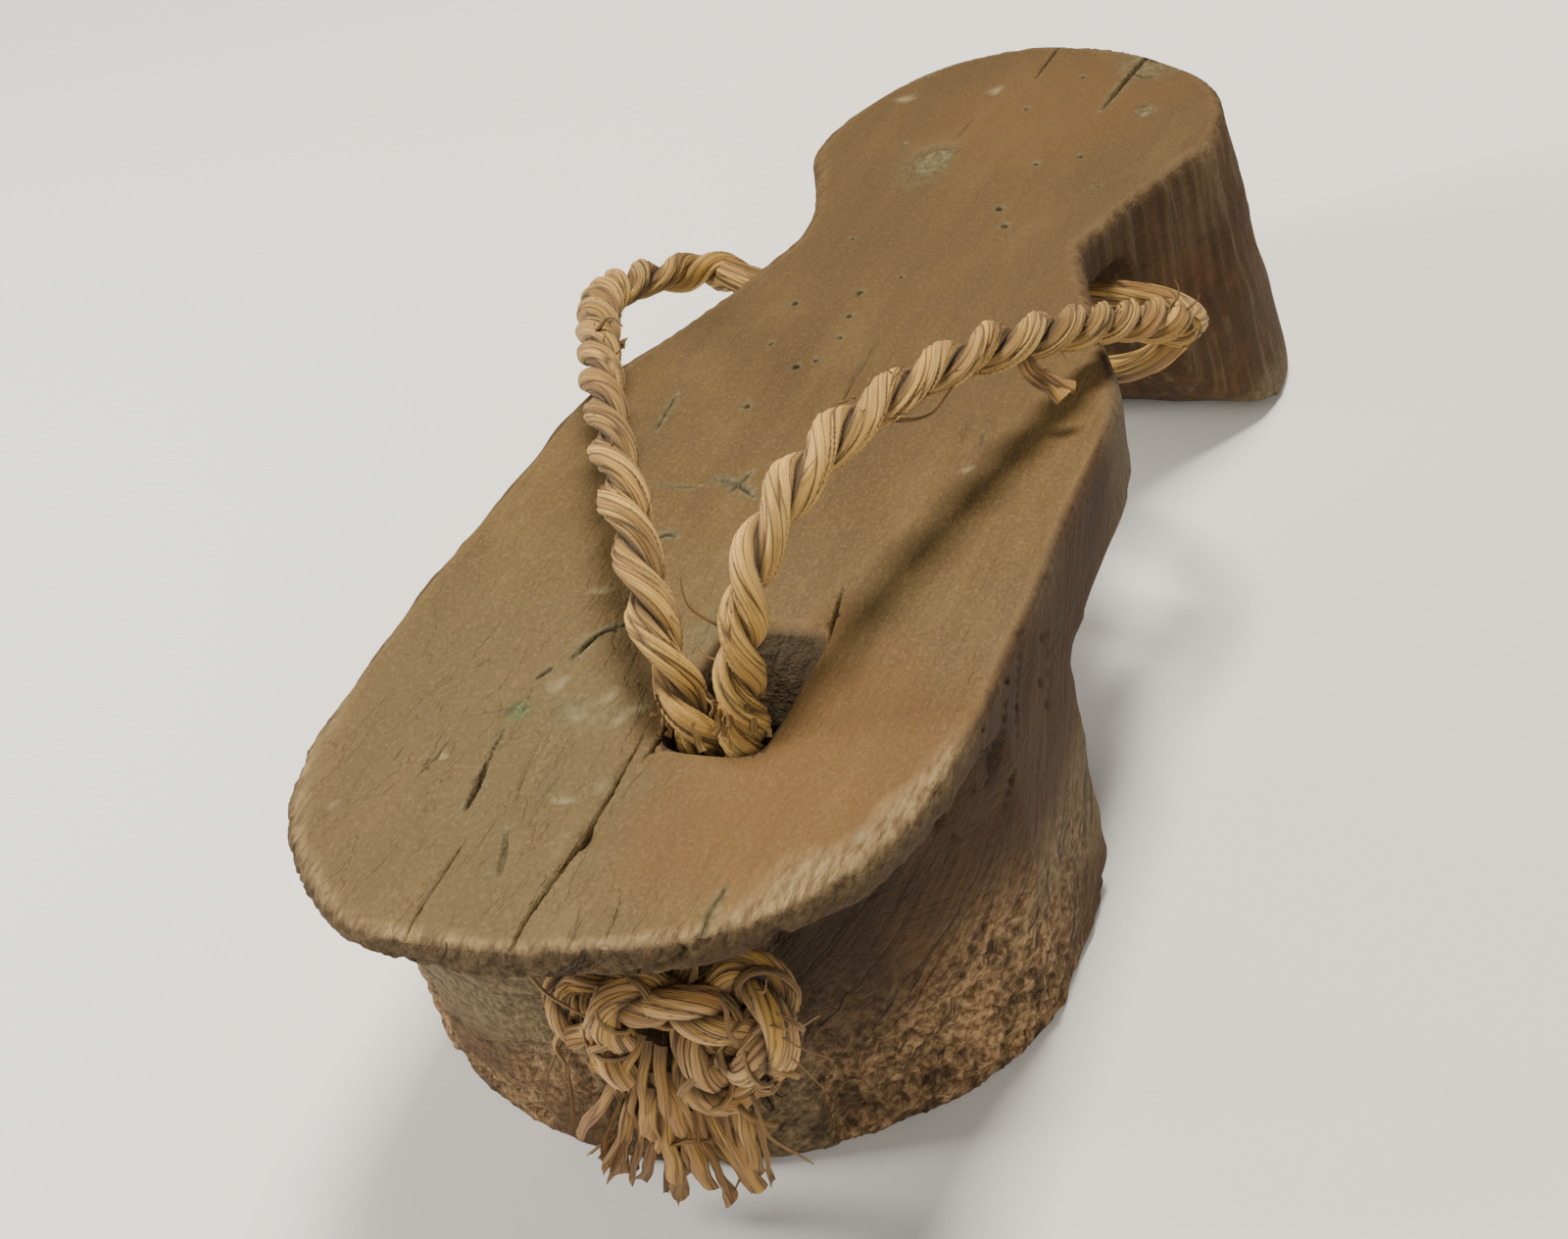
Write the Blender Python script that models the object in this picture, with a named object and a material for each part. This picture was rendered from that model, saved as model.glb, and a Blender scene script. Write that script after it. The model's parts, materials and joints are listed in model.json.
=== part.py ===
"""A carved wooden sandal for the right foot: a one-piece sole on two blocks, and a straw rope thong.

The sole's centreline is x = 0 with y = 0 at mid-length, the toe at -Y and the floor at z = 0.
Tables are in millimetres in that frame. Every object hangs from one empty, which moves the
finished sandal sideways so that the world origin is the middle of its footprint.
"""
import math
from collections import namedtuple

import bmesh
import bpy
import numpy as np
from mathutils import Vector

MM = 0.001

# ---------------------------------------------------------------- driving sizes, millimetres
FOOTPRINT_SHIFT = (5.0, -1.8)     # moves the middle of the whole footprint onto the origin
DECK_TOP_MID = 55.3               # deck height at mid-length
DECK_SLOPE = -0.035               # the deck falls a little from toe to heel
LIP_THICK = 4.8                   # toe lip that overhangs the front block
LIP_UNDERCUT = 2.4                # how far the lip's lower edge is hewn back at the left of the toe
LIP_UNDERCUT_FRONT = 0.8          # and straight ahead
ARRIS = 1.8                       # worn rounding along the deck's upper edge
FOOT_ARRIS = 1.4                  # wear round the foot of both blocks
HEEL_FLARE = 6.0                  # how far the heel block spreads sideways at the floor
HEEL_FLARE_BACK = 2.5             # and backwards
LIP_START, LIP_BLEND = -84.0, 14.0   # where the lip leaves the block's flank, and over what length
OUTLINE_STEPS = 4                 # outline points between two stations

ROPE_RADIUS = 3.45                # half the two-ply rope's width across its lobes
PLY_HALF = 0.55                   # half a ply's thickness, and how near the rope's middle the groove
GROOVE = 0.40                     # between the plies comes, both as parts of that radius
STRAND_STEP, PLY_STEP, KNOT_STEP = 3.0, 3.6, 1.75   # longest step between sections along each rope
STRAND_TURN = 0.17                # and the most half turns of twist between two sections
PLY_RADIUS = 2.1                  # one untwisted ply under the waist
PLY_SIDES = 8
PIECE_GAP = 0.5                   # clearance between neighbouring pieces

Station = namedtuple("Station", "y right left")
OUTLINE = [
    Station(-118.4, 9.0, 19.6),
    Station(-115.4, 21.6, 25.2),
    Station(-109.2, 31.6, 32.2),
    Station(-100.0, 39.2, 39.6),
    Station(-88.0, 43.0, 43.4),
    Station(-72.0, 44.6, 44.5),
    Station(-48.0, 43.9, 45.0),
    Station(-20.0, 42.9, 43.8),
    Station(-4.0, 42.3, 43.0),
    Station(6.0, 40.2, 41.1),
    Station(20.0, 33.6, 35.4),
    Station(34.0, 27.8, 30.2),
    Station(43.0, 24.3, 27.6),
    Station(46.5, 23.7, 26.5),
    Station(49.5, 24.4, 25.9),
    Station(60.0, 28.0, 27.4),
    Station(75.0, 34.1, 32.6),
    Station(78.5, 35.7, 34.2),
    Station(82.0, 36.0, 34.8),
    Station(94.0, 34.8, 33.1),
    Station(104.0, 29.9, 29.2),
    Station(112.2, 21.1, 23.2),
    Station(118.0, 10.6, 16.0),
]
TOE_TIP = (-6.0, -120.2)
HEEL_TIP = (-4.0, 121.2)

# The gap between the blocks: up the front block's rear face, along the underside of the deck,
# then down the heel block's leaning face to its worn lower edge
Under = namedtuple("Under", "y z")
FRONT_BLOCK_REAR = -38.5
HEEL_FACE_TOP = 58.0
HEEL_FACE_FLOOR = 85.0
ARCH = [
    Under(FRONT_BLOCK_REAR, 39.5),
    Under(-35.5, 41.2),
    Under(-20.0, 40.7),
    Under(8.0, 40.2),
    Under(20.0, 41.8),
    Under(34.0, 44.6),
    Under(46.0, 45.9),
    Under(HEEL_FACE_TOP - 3.0, 45.8),
    Under(HEEL_FACE_TOP, 43.6),
    Under(HEEL_FACE_TOP + 0.4, 39.0),
    Under(HEEL_FACE_TOP + 3.8, 30.0),
    Under(HEEL_FACE_TOP + 7.4, 21.0),
    Under(HEEL_FACE_TOP + 9.6, 14.6),
    Under(HEEL_FACE_TOP + 12.6, 9.4),
    Under(HEEL_FACE_TOP + 18.2, 4.4),
    Under(HEEL_FACE_FLOOR, 0.0),
]

# Plan of the front block's nose under the lip, from its left flank round to its right flank
Plan = namedtuple("Plan", "x y")
BLOCK_NOSE = [
    Plan(-50.0, -77.5),
    Plan(-44.2, -83.3),
    Plan(-37.2, -90.2),
    Plan(-28.0, -95.6),
    Plan(-15.0, -100.0),
    Plan(-2.0, -100.7),
    Plan(10.5, -98.4),
    Plan(21.0, -94.4),
    Plan(31.0, -87.2),
    Plan(37.8, -80.6),
    Plan(42.2, -73.6),
    Plan(46.0, -62.0),
    Plan(52.0, -52.0),
]

# Rope hole, and the slot that runs on from it to the block's face
HOLE_LEFT, HOLE_RIGHT = 5.0, 19.0
HOLE_FRONT, HOLE_REAR = -82.0, -56.0
HOLE_REAR_LOW = -67.0             # the rear wall slopes forward on its way down
HOLE_CORNER = 3.0
HOLE_BOTTOM = 43.0
SLOT_REAR = -63.0
SLOT_MOUTH = -106.0
SLOT_REAR_TOP, SLOT_MOUTH_TOP = 46.0, 52.5
SLOT_REAR_FLOOR, SLOT_MOUTH_FLOOR = 18.0, 9.0
SLOT_MOUTH_LEFT, SLOT_MOUTH_RIGHT = -5.5, 17.0

# Rope routes: position, and how many half turns of twist the rope makes per millimetre there
Route = namedtuple("Route", "x y z twist")
STRAND_LEFT = [
    Route(3.4, -96.0, 43.2, 0.10),
    Route(5.2, -89.6, 43.0, 0.10),
    Route(7.4, -83.2, 44.0, 0.10),
    Route(8.6, -78.8, 47.8, 0.11),
    Route(8.8, -77.6, 55.4, 0.11),
    Route(7.8, -77.0, 62.0, 0.11),
    Route(4.4, -72.9, 68.6, 0.105),
    Route(-1.4, -63.4, 73.5, 0.095),
    Route(-8.5, -51.2, 76.0, 0.09),
    Route(-17.0, -36.2, 76.2, 0.09),
    Route(-28.6, -15.2, 72.6, 0.085),
    Route(-39.0, 4.4, 66.8, 0.09),
    Route(-46.4, 19.6, 60.2, 0.085),
    Route(-51.6, 35.2, 53.0, 0.06),
    Route(-53.8, 46.8, 47.4, 0.06),
    Route(-53.0, 54.2, 43.6, 0.10),
    Route(-48.5, 57.4, 42.6, 0.15),
    Route(-41.4, 56.6, 41.0, 0.08),
]
STRAND_RIGHT = [
    Route(12.4, -95.0, 43.6, 0.12),
    Route(13.4, -88.4, 43.8, 0.12),
    Route(14.3, -82.4, 45.0, 0.13),
    Route(14.9, -78.6, 49.4, 0.14),
    Route(15.2, -77.6, 57.2, 0.15),
    Route(16.0, -76.4, 65.0, 0.145),
    Route(17.3, -74.0, 72.6, 0.13),
    Route(18.6, -69.6, 78.6, 0.11),
    Route(19.9, -62.0, 81.6, 0.09),
    Route(21.8, -51.0, 82.0, 0.08),
    Route(24.6, -36.6, 79.8, 0.075),
    Route(28.4, -20.6, 75.4, 0.08),
    Route(32.8, -4.2, 68.6, 0.09),
    Route(37.2, 11.0, 61.0, 0.135),
    Route(41.2, 23.2, 53.8, 0.15),
    Route(44.2, 30.0, 48.6, 0.15),
]
# The two plies under the waist, from inside the left strand's end to inside the right strand's
Place = namedtuple("Place", "x y z")
PLY_REAR = [
    Place(-45.0, 57.0, 42.8),
    Place(-37.0, 56.0, 40.6),
    Place(-20.0, 54.6, 40.0),
    Place(4.0, 53.4, 40.0),
    Place(24.0, 53.6, 40.0),
    Place(32.0, 49.6, 41.6),
    Place(39.0, 42.6, 44.2),
    Place(43.6, 34.6, 46.6),
    Place(43.8, 30.6, 48.0),
]
PLY_FRONT = [
    Place(-45.0, 55.6, 42.8),
    Place(-37.0, 53.4, 40.4),
    Place(-20.0, 46.4, 39.6),
    Place(4.0, 38.0, 39.4),
    Place(22.0, 32.4, 39.4),
    Place(31.0, 30.4, 40.4),
    Place(38.0, 28.2, 43.8),
    Place(42.8, 28.8, 47.6),
]

# Stopper knots: centre, size of the overhand curve, rope radius inside the knot
Knot = namedtuple("Knot", "name x y z size rope")
KNOTS = [
    Knot("knot_left", 3.2, -105.2, 38.6, 1.6, 1.85),
    Knot("knot_right", 20.8, -109.4, 39.6, 3.1, 2.95),
]
KNOT_DEPTH = 0.98                 # how far the crossings of the overhand stand apart, in sizes
KNOT_NARROW = 0.95                # the pull of the rope makes it narrower than tall
KNOT_START, KNOT_END = 316.0, 284.0   # degrees of the overhand where the rope comes in and leaves
KNOT_SIDES = 10

# Where the cut end goes after it leaves the overhand
TAILS = {
    "knot_left": [(-1.8, -107.3, 41.0), (-2.6, -107.4, 36.4), (-2.4, -107.2, 33.0)],
    "knot_right": [(11.4, -113.2, 47.0), (7.9, -113.4, 43.0), (7.8, -112.6, 34.0)],
}
# Frayed straw: a root in the knot's tail and a tip, with the lock's width and thickness
Lock = namedtuple("Lock", "x0 y0 z0 x1 y1 z1 width thick")
LOCKS = {
    "knot_left": [
        Lock(-1.2, -107.2, 36.2, -5.6, -107.0, 34.2, 2.6, 2.4),
        Lock(-2.4, -107.0, 35.0, -7.4, -106.0, 8.4, 2.2, 0.9),
        Lock(-2.0, -107.2, 35.0, -4.2, -105.2, 4.4, 3.0, 1.1),
        Lock(-1.6, -107.0, 35.0, -0.6, -105.4, 4.4, 2.6, 1.0),
    ],
    "knot_right": [
        Lock(7.0, -112.2, 36.0, 5.6, -111.6, 21.0, 3.0, 1.3),
        Lock(7.8, -112.4, 36.0, 4.8, -106.8, 3.6, 2.8, 1.1),
        Lock(8.4, -112.2, 36.0, 9.0, -107.0, 8.0, 2.6, 1.0),
        Lock(9.0, -112.0, 36.0, 12.4, -109.6, 14.0, 2.4, 1.0),
        Lock(18.0, -109.6, 30.8, 16.4, -106.4, 12.0, 2.8, 1.1),
        Lock(22.4, -109.6, 30.8, 21.0, -106.6, 14.0, 2.8, 1.0),
    ],
}

Look = namedtuple("Look", "color roughness crease")   # crease: degrees beyond which an edge stays sharp
LOOKS = {
    "wooden_sole": Look((0.262, 0.160, 0.084, 1.0), 0.78, 35),
    "rope_thong": Look((0.420, 0.262, 0.118, 1.0), 0.85, 75),
    "knot_left": Look((0.450, 0.282, 0.130, 1.0), 0.85, 75),
    "knot_right": Look((0.450, 0.282, 0.130, 1.0), 0.85, 75),
}


# ---------------------------------------------------------------- scene and small helpers
def clear_scene():
    for obj in list(bpy.data.objects):
        bpy.data.objects.remove(obj, do_unlink=True)


def new_collection(name, hidden=False):
    collection = bpy.data.collections.new(name)
    bpy.context.scene.collection.children.link(collection)
    collection.hide_render = hidden
    return collection


def deck_top(y):
    return DECK_TOP_MID + DECK_SLOPE * y


def smooth_curve(points, steps, closed=False):
    """Points along a Catmull-Rom curve through the given ones, with steps of them to each span."""
    knots = np.array(points, dtype=float)
    if closed:
        knots = np.vstack([knots[-1:], knots, knots[:2]])
    else:
        knots = np.vstack([2 * knots[0] - knots[1], knots, 2 * knots[-1] - knots[-2]])
    found = []
    for p0, p1, p2, p3 in zip(knots, knots[1:], knots[2:], knots[3:]):
        spans = [math.sqrt(np.linalg.norm(b - a)) for a, b in ((p0, p1), (p1, p2), (p2, p3))]
        into = spans[1] * ((p1 - p0) / spans[0] - (p2 - p0) / (spans[0] + spans[1])) + (p2 - p1)
        away = spans[1] * ((p3 - p2) / spans[2] - (p3 - p1) / (spans[1] + spans[2])) + (p2 - p1)
        for step in range(steps):
            t = step / steps
            found.append(
                (2 * t**3 - 3 * t**2 + 1) * p1 + (t**3 - 2 * t**2 + t) * into
                + (3 * t**2 - 2 * t**3) * p2 + (t**3 - t**2) * away
            )
    if not closed:
        found.append(knots[-2])
    return np.array(found)


def evenly_spaced(path, spacing):
    """The path read again at equal steps of about the given spacing."""
    lengths = np.concatenate([[0.0], np.cumsum(np.linalg.norm(np.diff(path[:, :3], axis=0), axis=1))])
    count = max(2, round(lengths[-1] / spacing) + 1)
    wanted = np.linspace(0.0, lengths[-1], count)
    return np.column_stack([np.interp(wanted, lengths, column) for column in path.T])


def outward(loop):
    """Unit normals of a closed plan loop that runs anticlockwise."""
    along = np.roll(loop, -1, axis=0) - np.roll(loop, 1, axis=0)
    along /= np.linalg.norm(along, axis=1)[:, None]
    return np.column_stack([along[:, 1], -along[:, 0]])


def loft(name, rings, collection):
    """A closed solid through rings of equal count, with flat ends."""
    bm = bmesh.new()
    loops = [[bm.verts.new(Vector(point) * MM) for point in ring] for ring in rings]
    for low, high in zip(loops, loops[1:]):
        for i, vert in enumerate(low):
            after = (i + 1) % len(low)
            bm.faces.new((vert, low[after], high[after], high[i]))
    bm.faces.new(loops[0][::-1])
    bm.faces.new(loops[-1])
    bmesh.ops.recalc_face_normals(bm, faces=bm.faces)
    mesh = bpy.data.meshes.new(name)
    bm.to_mesh(mesh)
    bm.free()
    obj = bpy.data.objects.new(name, mesh)
    collection.objects.link(obj)
    return obj


def as_helper(obj):
    obj.hide_render = True
    obj.display_type = "WIRE"
    return obj


def combine(target, other, operation):
    modifier = target.modifiers.new(f"{operation.lower()} {other.name}", "BOOLEAN")
    modifier.operation = operation
    modifier.solver = "EXACT"
    modifier.object = other


def finish(obj):
    """Gives a sub-part its own material and smooth shading with its real edges kept sharp."""
    look = LOOKS[obj.name]
    material = bpy.data.materials.new(obj.name)
    material.use_nodes = True
    shader = material.node_tree.nodes["Principled BSDF"]
    shader.inputs["Base Color"].default_value = look.color
    shader.inputs["Roughness"].default_value = look.roughness
    shader.inputs["Metallic"].default_value = 0.0
    material.diffuse_color = look.color
    obj.data.materials.clear()
    obj.data.materials.append(material)
    obj.data.shade_smooth()
    obj.data.set_sharp_from_angle(angle=math.radians(look.crease))


# ---------------------------------------------------------------- wooden sole
def sole_outline():
    """The deck's plan, anticlockwise from the toe tip up the right side and down the left."""
    right = [(row.right, row.y) for row in OUTLINE]
    left = [(-row.left, row.y) for row in reversed(OUTLINE)]
    return smooth_curve([TOE_TIP, *right, HEEL_TIP, *left], OUTLINE_STEPS, closed=True)


def sole_blank(collection):
    """The whole block before carving: the deck's plan carried to the floor, spreading at the heel."""
    plan = sole_outline()
    normal = outward(plan)
    top = deck_top(plan[:, 1])
    behind = np.clip((plan[:, 1] - HEEL_FACE_TOP) / (HEEL_FACE_FLOOR - HEEL_FACE_TOP), 0.0, 1.0)
    sideways = np.abs(normal[:, 0])
    flare = behind * (HEEL_FLARE_BACK + (HEEL_FLARE - HEEL_FLARE_BACK) * sideways)

    toe_share = np.clip((LIP_START - plan[:, 1]) / LIP_BLEND, 0.0, 1.0)
    leftward = np.clip(-normal[:, 0], 0.0, 1.0)
    undercut = toe_share * (LIP_UNDERCUT_FRONT + (LIP_UNDERCUT - LIP_UNDERCUT_FRONT) * leftward)

    def ring(height, inset):
        grow = flare * (1.0 - height / top) - inset
        return np.column_stack([plan + normal * grow[:, None], height])

    rings = []
    for degrees in (0, 30, 60, 90):
        turn = math.radians(degrees)
        height = FOOT_ARRIS * (1 - math.cos(turn))
        rings.append(ring(np.full(len(plan), height), undercut + FOOT_ARRIS * (1 - math.sin(turn))))
    rings.append(ring(top - LIP_THICK - ARRIS, undercut))
    for degrees in (0, 30, 60, 90):
        turn = math.radians(degrees)
        rings.append(ring(top - ARRIS * (1 - math.sin(turn)), ARRIS * (1 - math.cos(turn))))
    return loft("wooden_sole", rings, collection)


def arch_cutter(collection):
    """The gap between the blocks: its side profile drawn across the whole width."""
    reach, below = 70.0, -5.0
    profile = [(FRONT_BLOCK_REAR, below), *ARCH, (HEEL_FACE_FLOOR, below)]
    rings = [[(x, y, z) for y, z in profile] for x in (-reach, reach)]
    return as_helper(loft("arch_cutter", rings, collection))


def lip_cutter(collection):
    """What is carved away under the toe lip, leaving the front block's rounded nose."""
    reach, ahead, below = 62.0, -132.0, -5.0
    nose = smooth_curve(BLOCK_NOSE, 2)
    along = np.gradient(nose, axis=0)
    along /= np.linalg.norm(along, axis=1)[:, None]
    inward = np.column_stack([-along[:, 1], along[:, 0]])

    def ring(height, inset):
        edge = nose + inward * inset
        plan = [*map(tuple, edge), (reach, edge[-1][1]), (reach, ahead), (-reach, ahead), (-reach, edge[0][1])]
        return [(x, y, height if height is not None else deck_top(y) - LIP_THICK) for x, y in plan]

    rings = [ring(below, FOOT_ARRIS), ring(0.0, FOOT_ARRIS), ring(0.5 * FOOT_ARRIS, 0.4 * FOOT_ARRIS)]
    rings += [ring(1.6 * FOOT_ARRIS, 0.0), ring(None, 0.0)]
    return as_helper(loft("lip_cutter", rings, collection))


def hole_cutter(collection):
    """The rope hole: round-cornered, with a rear wall that slopes forward."""
    corner_steps = 4

    def ring(height, rear):
        centres = [
            (HOLE_RIGHT - HOLE_CORNER, HOLE_FRONT + HOLE_CORNER, -90),
            (HOLE_RIGHT - HOLE_CORNER, rear - HOLE_CORNER, 0),
            (HOLE_LEFT + HOLE_CORNER, rear - HOLE_CORNER, 90),
            (HOLE_LEFT + HOLE_CORNER, HOLE_FRONT + HOLE_CORNER, 180),
        ]
        points = []
        for x, y, start in centres:
            for step in range(corner_steps + 1):
                turn = math.radians(start + 90 * step / corner_steps)
                points.append((x + HOLE_CORNER * math.cos(turn), y + HOLE_CORNER * math.sin(turn), height))
        return points

    surface = deck_top(HOLE_REAR)
    rise = 6.0
    slope = (HOLE_REAR - HOLE_REAR_LOW) / (surface - HOLE_BOTTOM)
    rings = [ring(HOLE_BOTTOM, HOLE_REAR_LOW), ring(surface + rise, HOLE_REAR + rise * slope)]
    return as_helper(loft("hole_cutter", rings, collection))


def slot_cutter(collection):
    """The rope's way out: a pocket that widens from under the hole to the block's face."""
    def ring(y, left, right, floor, top):
        return [(left, y, floor), (right, y, floor), (right, y, top), (left, y, top)]

    rings = [
        ring(SLOT_MOUTH, SLOT_MOUTH_LEFT, SLOT_MOUTH_RIGHT, SLOT_MOUTH_FLOOR, SLOT_MOUTH_TOP),
        ring(SLOT_REAR, HOLE_LEFT, HOLE_RIGHT, SLOT_REAR_FLOOR, SLOT_REAR_TOP),
    ]
    return as_helper(loft("slot_cutter", rings, collection))


def make_sole(parts, helpers):
    sole = sole_blank(parts)
    for cutter in (arch_cutter(helpers), lip_cutter(helpers), hole_cutter(helpers), slot_cutter(helpers)):
        combine(sole, cutter, "DIFFERENCE")
    return sole


# ---------------------------------------------------------------- rope thong
def solid_from_curve(curve_object, name, collection):
    """The swept curve as a mesh object with its end caps welded on."""
    graph = bpy.context.evaluated_depsgraph_get()
    mesh = bpy.data.meshes.new_from_object(curve_object.evaluated_get(graph))
    bm = bmesh.new()
    bm.from_mesh(mesh)
    bmesh.ops.remove_doubles(bm, verts=bm.verts, dist=0.001 * MM)
    bmesh.ops.recalc_face_normals(bm, faces=bm.faces)
    bm.to_mesh(mesh)
    bm.free()
    mesh.name = name
    obj = bpy.data.objects.new(name, mesh)
    obj.matrix_world = curve_object.matrix_world
    collection.objects.link(obj)
    bpy.data.objects.remove(curve_object, do_unlink=True)
    return obj


def round_section(radius, sides):
    return [
        (radius * math.cos(math.tau * i / sides), radius * math.sin(math.tau * i / sides))
        for i in range(sides)
    ]


def two_ply_section():
    """Across the rope: two round plies side by side, pressed into each other."""
    half = []
    for degrees in (-100, -50, 0, 50, 100):
        turn = math.radians(degrees)
        half.append((1 - PLY_HALF + PLY_HALF * math.cos(turn), PLY_HALF * math.sin(turn)))
    half.append((0.0, GROOVE))
    return [(sign * x * ROPE_RADIUS, sign * y * ROPE_RADIUS) for sign in (1, -1) for x, y in half]


def section_curve(name, outline, collection):
    """A closed section across a rope, for a curve's bevel."""
    curve = bpy.data.curves.new(name, "CURVE")
    curve.dimensions = "2D"
    spline = curve.splines.new("POLY")
    spline.points.add(len(outline) - 1)
    spline.use_cyclic_u = True
    for point, (x, y) in zip(spline.points, outline):
        point.co = (x * MM, y * MM, 0.0, 1.0)
    obj = bpy.data.objects.new(name, curve)
    collection.objects.link(obj)
    return as_helper(obj)


def swept(name, path, section, collection, tilt=None, thickness=None):
    """A solid swept along a path of points, turned by tilt and scaled by thickness on its way."""
    curve = bpy.data.curves.new(name, "CURVE")
    curve.dimensions = "3D"
    curve.bevel_mode = "OBJECT"
    curve.bevel_object = section
    curve.use_fill_caps = True
    spline = curve.splines.new("POLY")
    spline.points.add(len(path) - 1)
    for i, (point, place) in enumerate(zip(spline.points, path)):
        point.co = (*(place[:3] * MM), 1.0)
        point.tilt = 0.0 if tilt is None else tilt[i]
        point.radius = 1.0 if thickness is None else thickness[i]
    obj = bpy.data.objects.new(f"{name}_route", curve)
    collection.objects.link(obj)
    return solid_from_curve(obj, name, collection)


def strand(name, route, section, collection):
    """One twisted strand of the thong: its section turns as the route's twist says."""
    fine = smooth_curve(route, 12)
    steps = np.linalg.norm(np.diff(fine[:, :3], axis=0), axis=1)
    twist = fine[1:, 3]
    turned = np.concatenate([[0.0], np.cumsum(steps * twist)]) * -math.pi
    share = np.concatenate([[0.0], np.cumsum(steps * np.maximum(twist / STRAND_TURN, 1 / STRAND_STEP))])
    wanted = np.linspace(0.0, share[-1], round(share[-1]) + 1)
    path = np.column_stack([np.interp(wanted, share, column) for column in fine.T])
    return swept(name, path, section, collection, tilt=np.interp(wanted, share, turned))


def make_thong(parts, helpers):
    two_ply = section_curve("two_ply_section", two_ply_section(), helpers)
    one_ply = section_curve("one_ply_section", round_section(PLY_RADIUS, PLY_SIDES), helpers)
    thong = strand("rope_thong", STRAND_LEFT, two_ply, parts)
    others = [
        strand("strand_right", STRAND_RIGHT, two_ply, helpers),
        swept("ply_rear", evenly_spaced(smooth_curve(PLY_REAR, 4), PLY_STEP), one_ply, helpers),
        swept("ply_front", evenly_spaced(smooth_curve(PLY_FRONT, 4), PLY_STEP), one_ply, helpers),
    ]
    for other in others:
        combine(thong, as_helper(other), "UNION")
    return thong


# ---------------------------------------------------------------- stopper knots
def overhand_path(knot):
    """The rope's middle line through an overhand, in the plane of the block's face."""
    span = 360.0 - KNOT_START + KNOT_END
    count = round(span / 7.5)
    path = []
    for i in range(count + 1):
        t = math.radians(KNOT_START + span * i / count)
        across = math.sin(t) + 2 * math.sin(2 * t)
        up = math.cos(t) - 2 * math.cos(2 * t)
        out = KNOT_DEPTH * math.sin(3 * t)
        place = (knot.size * KNOT_NARROW * across, -knot.size * out, knot.size * up)
        path.append(np.add(place, (knot.x, knot.y, knot.z)))
    return np.array(path)


def straw_lock(name, lock, collection):
    """A flat bundle of straw that widens a little to its cut tip."""
    root = np.array([lock.x0, lock.y0, lock.z0])
    tip = np.array([lock.x1, lock.y1, lock.z1])
    along = (tip - root) / np.linalg.norm(tip - root)
    across = np.cross(along, (0.0, 1.0, 0.0))
    across /= np.linalg.norm(across)
    face = np.cross(across, along)
    rings = []
    for share, spread in ((0.0, 0.75), (0.45, 0.9), (1.0, 1.1)):
        middle = root + (tip - root) * share
        wide, deep = across * lock.width * spread / 2, face * lock.thick / 2
        rings.append([middle + wide + deep, middle - wide + deep, middle - wide - deep, middle + wide - deep])
    return as_helper(loft(name, rings, collection))


def make_knot(knot, strand_route, tail, parts, helpers):
    """The strand's end tied in an overhand, with its tail and its straw fused on."""
    section = section_curve(f"{knot.name}_section", round_section(knot.rope, KNOT_SIDES), helpers)
    end, before = (np.array(row[:3]) for row in strand_route[:2])
    onward = (end - before) / np.linalg.norm(end - before)
    standing = [end + onward * PIECE_GAP, end + onward * (PIECE_GAP + 1.5 * knot.rope)]
    route = np.vstack([standing, overhand_path(knot), tail])
    path = evenly_spaced(smooth_curve(route, 3), KNOT_STEP)
    body = swept(knot.name, path, section, parts)
    for number, lock in enumerate(LOCKS[knot.name], start=1):
        combine(body, straw_lock(f"{knot.name}_lock_{number}", lock, helpers), "UNION")
    return body


def make_knots(parts, helpers):
    strands = {"knot_left": STRAND_LEFT, "knot_right": STRAND_RIGHT}
    return [make_knot(knot, strands[knot.name], TAILS[knot.name], parts, helpers) for knot in KNOTS]


# ---------------------------------------------------------------- the sandal
def main():
    clear_scene()
    parts = new_collection("wooden_sandal")
    helpers = new_collection("cutters", hidden=True)
    pieces = [make_sole(parts, helpers), make_thong(parts, helpers), *make_knots(parts, helpers)]
    for piece in pieces:
        finish(piece)
    stand = bpy.data.objects.new("sandal_stand", None)
    parts.objects.link(stand)
    for obj in [*parts.objects, *helpers.objects]:
        if obj is not stand:
            obj.parent = stand
    stand.location = (FOOTPRINT_SHIFT[0] * MM, FOOTPRINT_SHIFT[1] * MM, 0.0)


main()
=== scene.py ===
# %% [markdown]
# # A weathered wooden sandal
#
# The sandal is one block of wood, carved into a deck on two blocks, with a thong of twisted straw
# rope. The rope comes up through one hole behind the toe and ends below it in two knots. The exact
# solids are loaded first, and everything below gives them the surface that years outdoors have
# left: grain, cracks, worm holes and frayed straw. Lengths are millimetres of the sole's own frame,
# with the toe at -Y and the floor at z = 0, and are turned into metres in one place.

# %% Load the sandal's solids
import json
import math
from collections import namedtuple
from contextlib import contextmanager

import bmesh
import bpy
import numpy as np
from mathutils import Matrix, Vector

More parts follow.
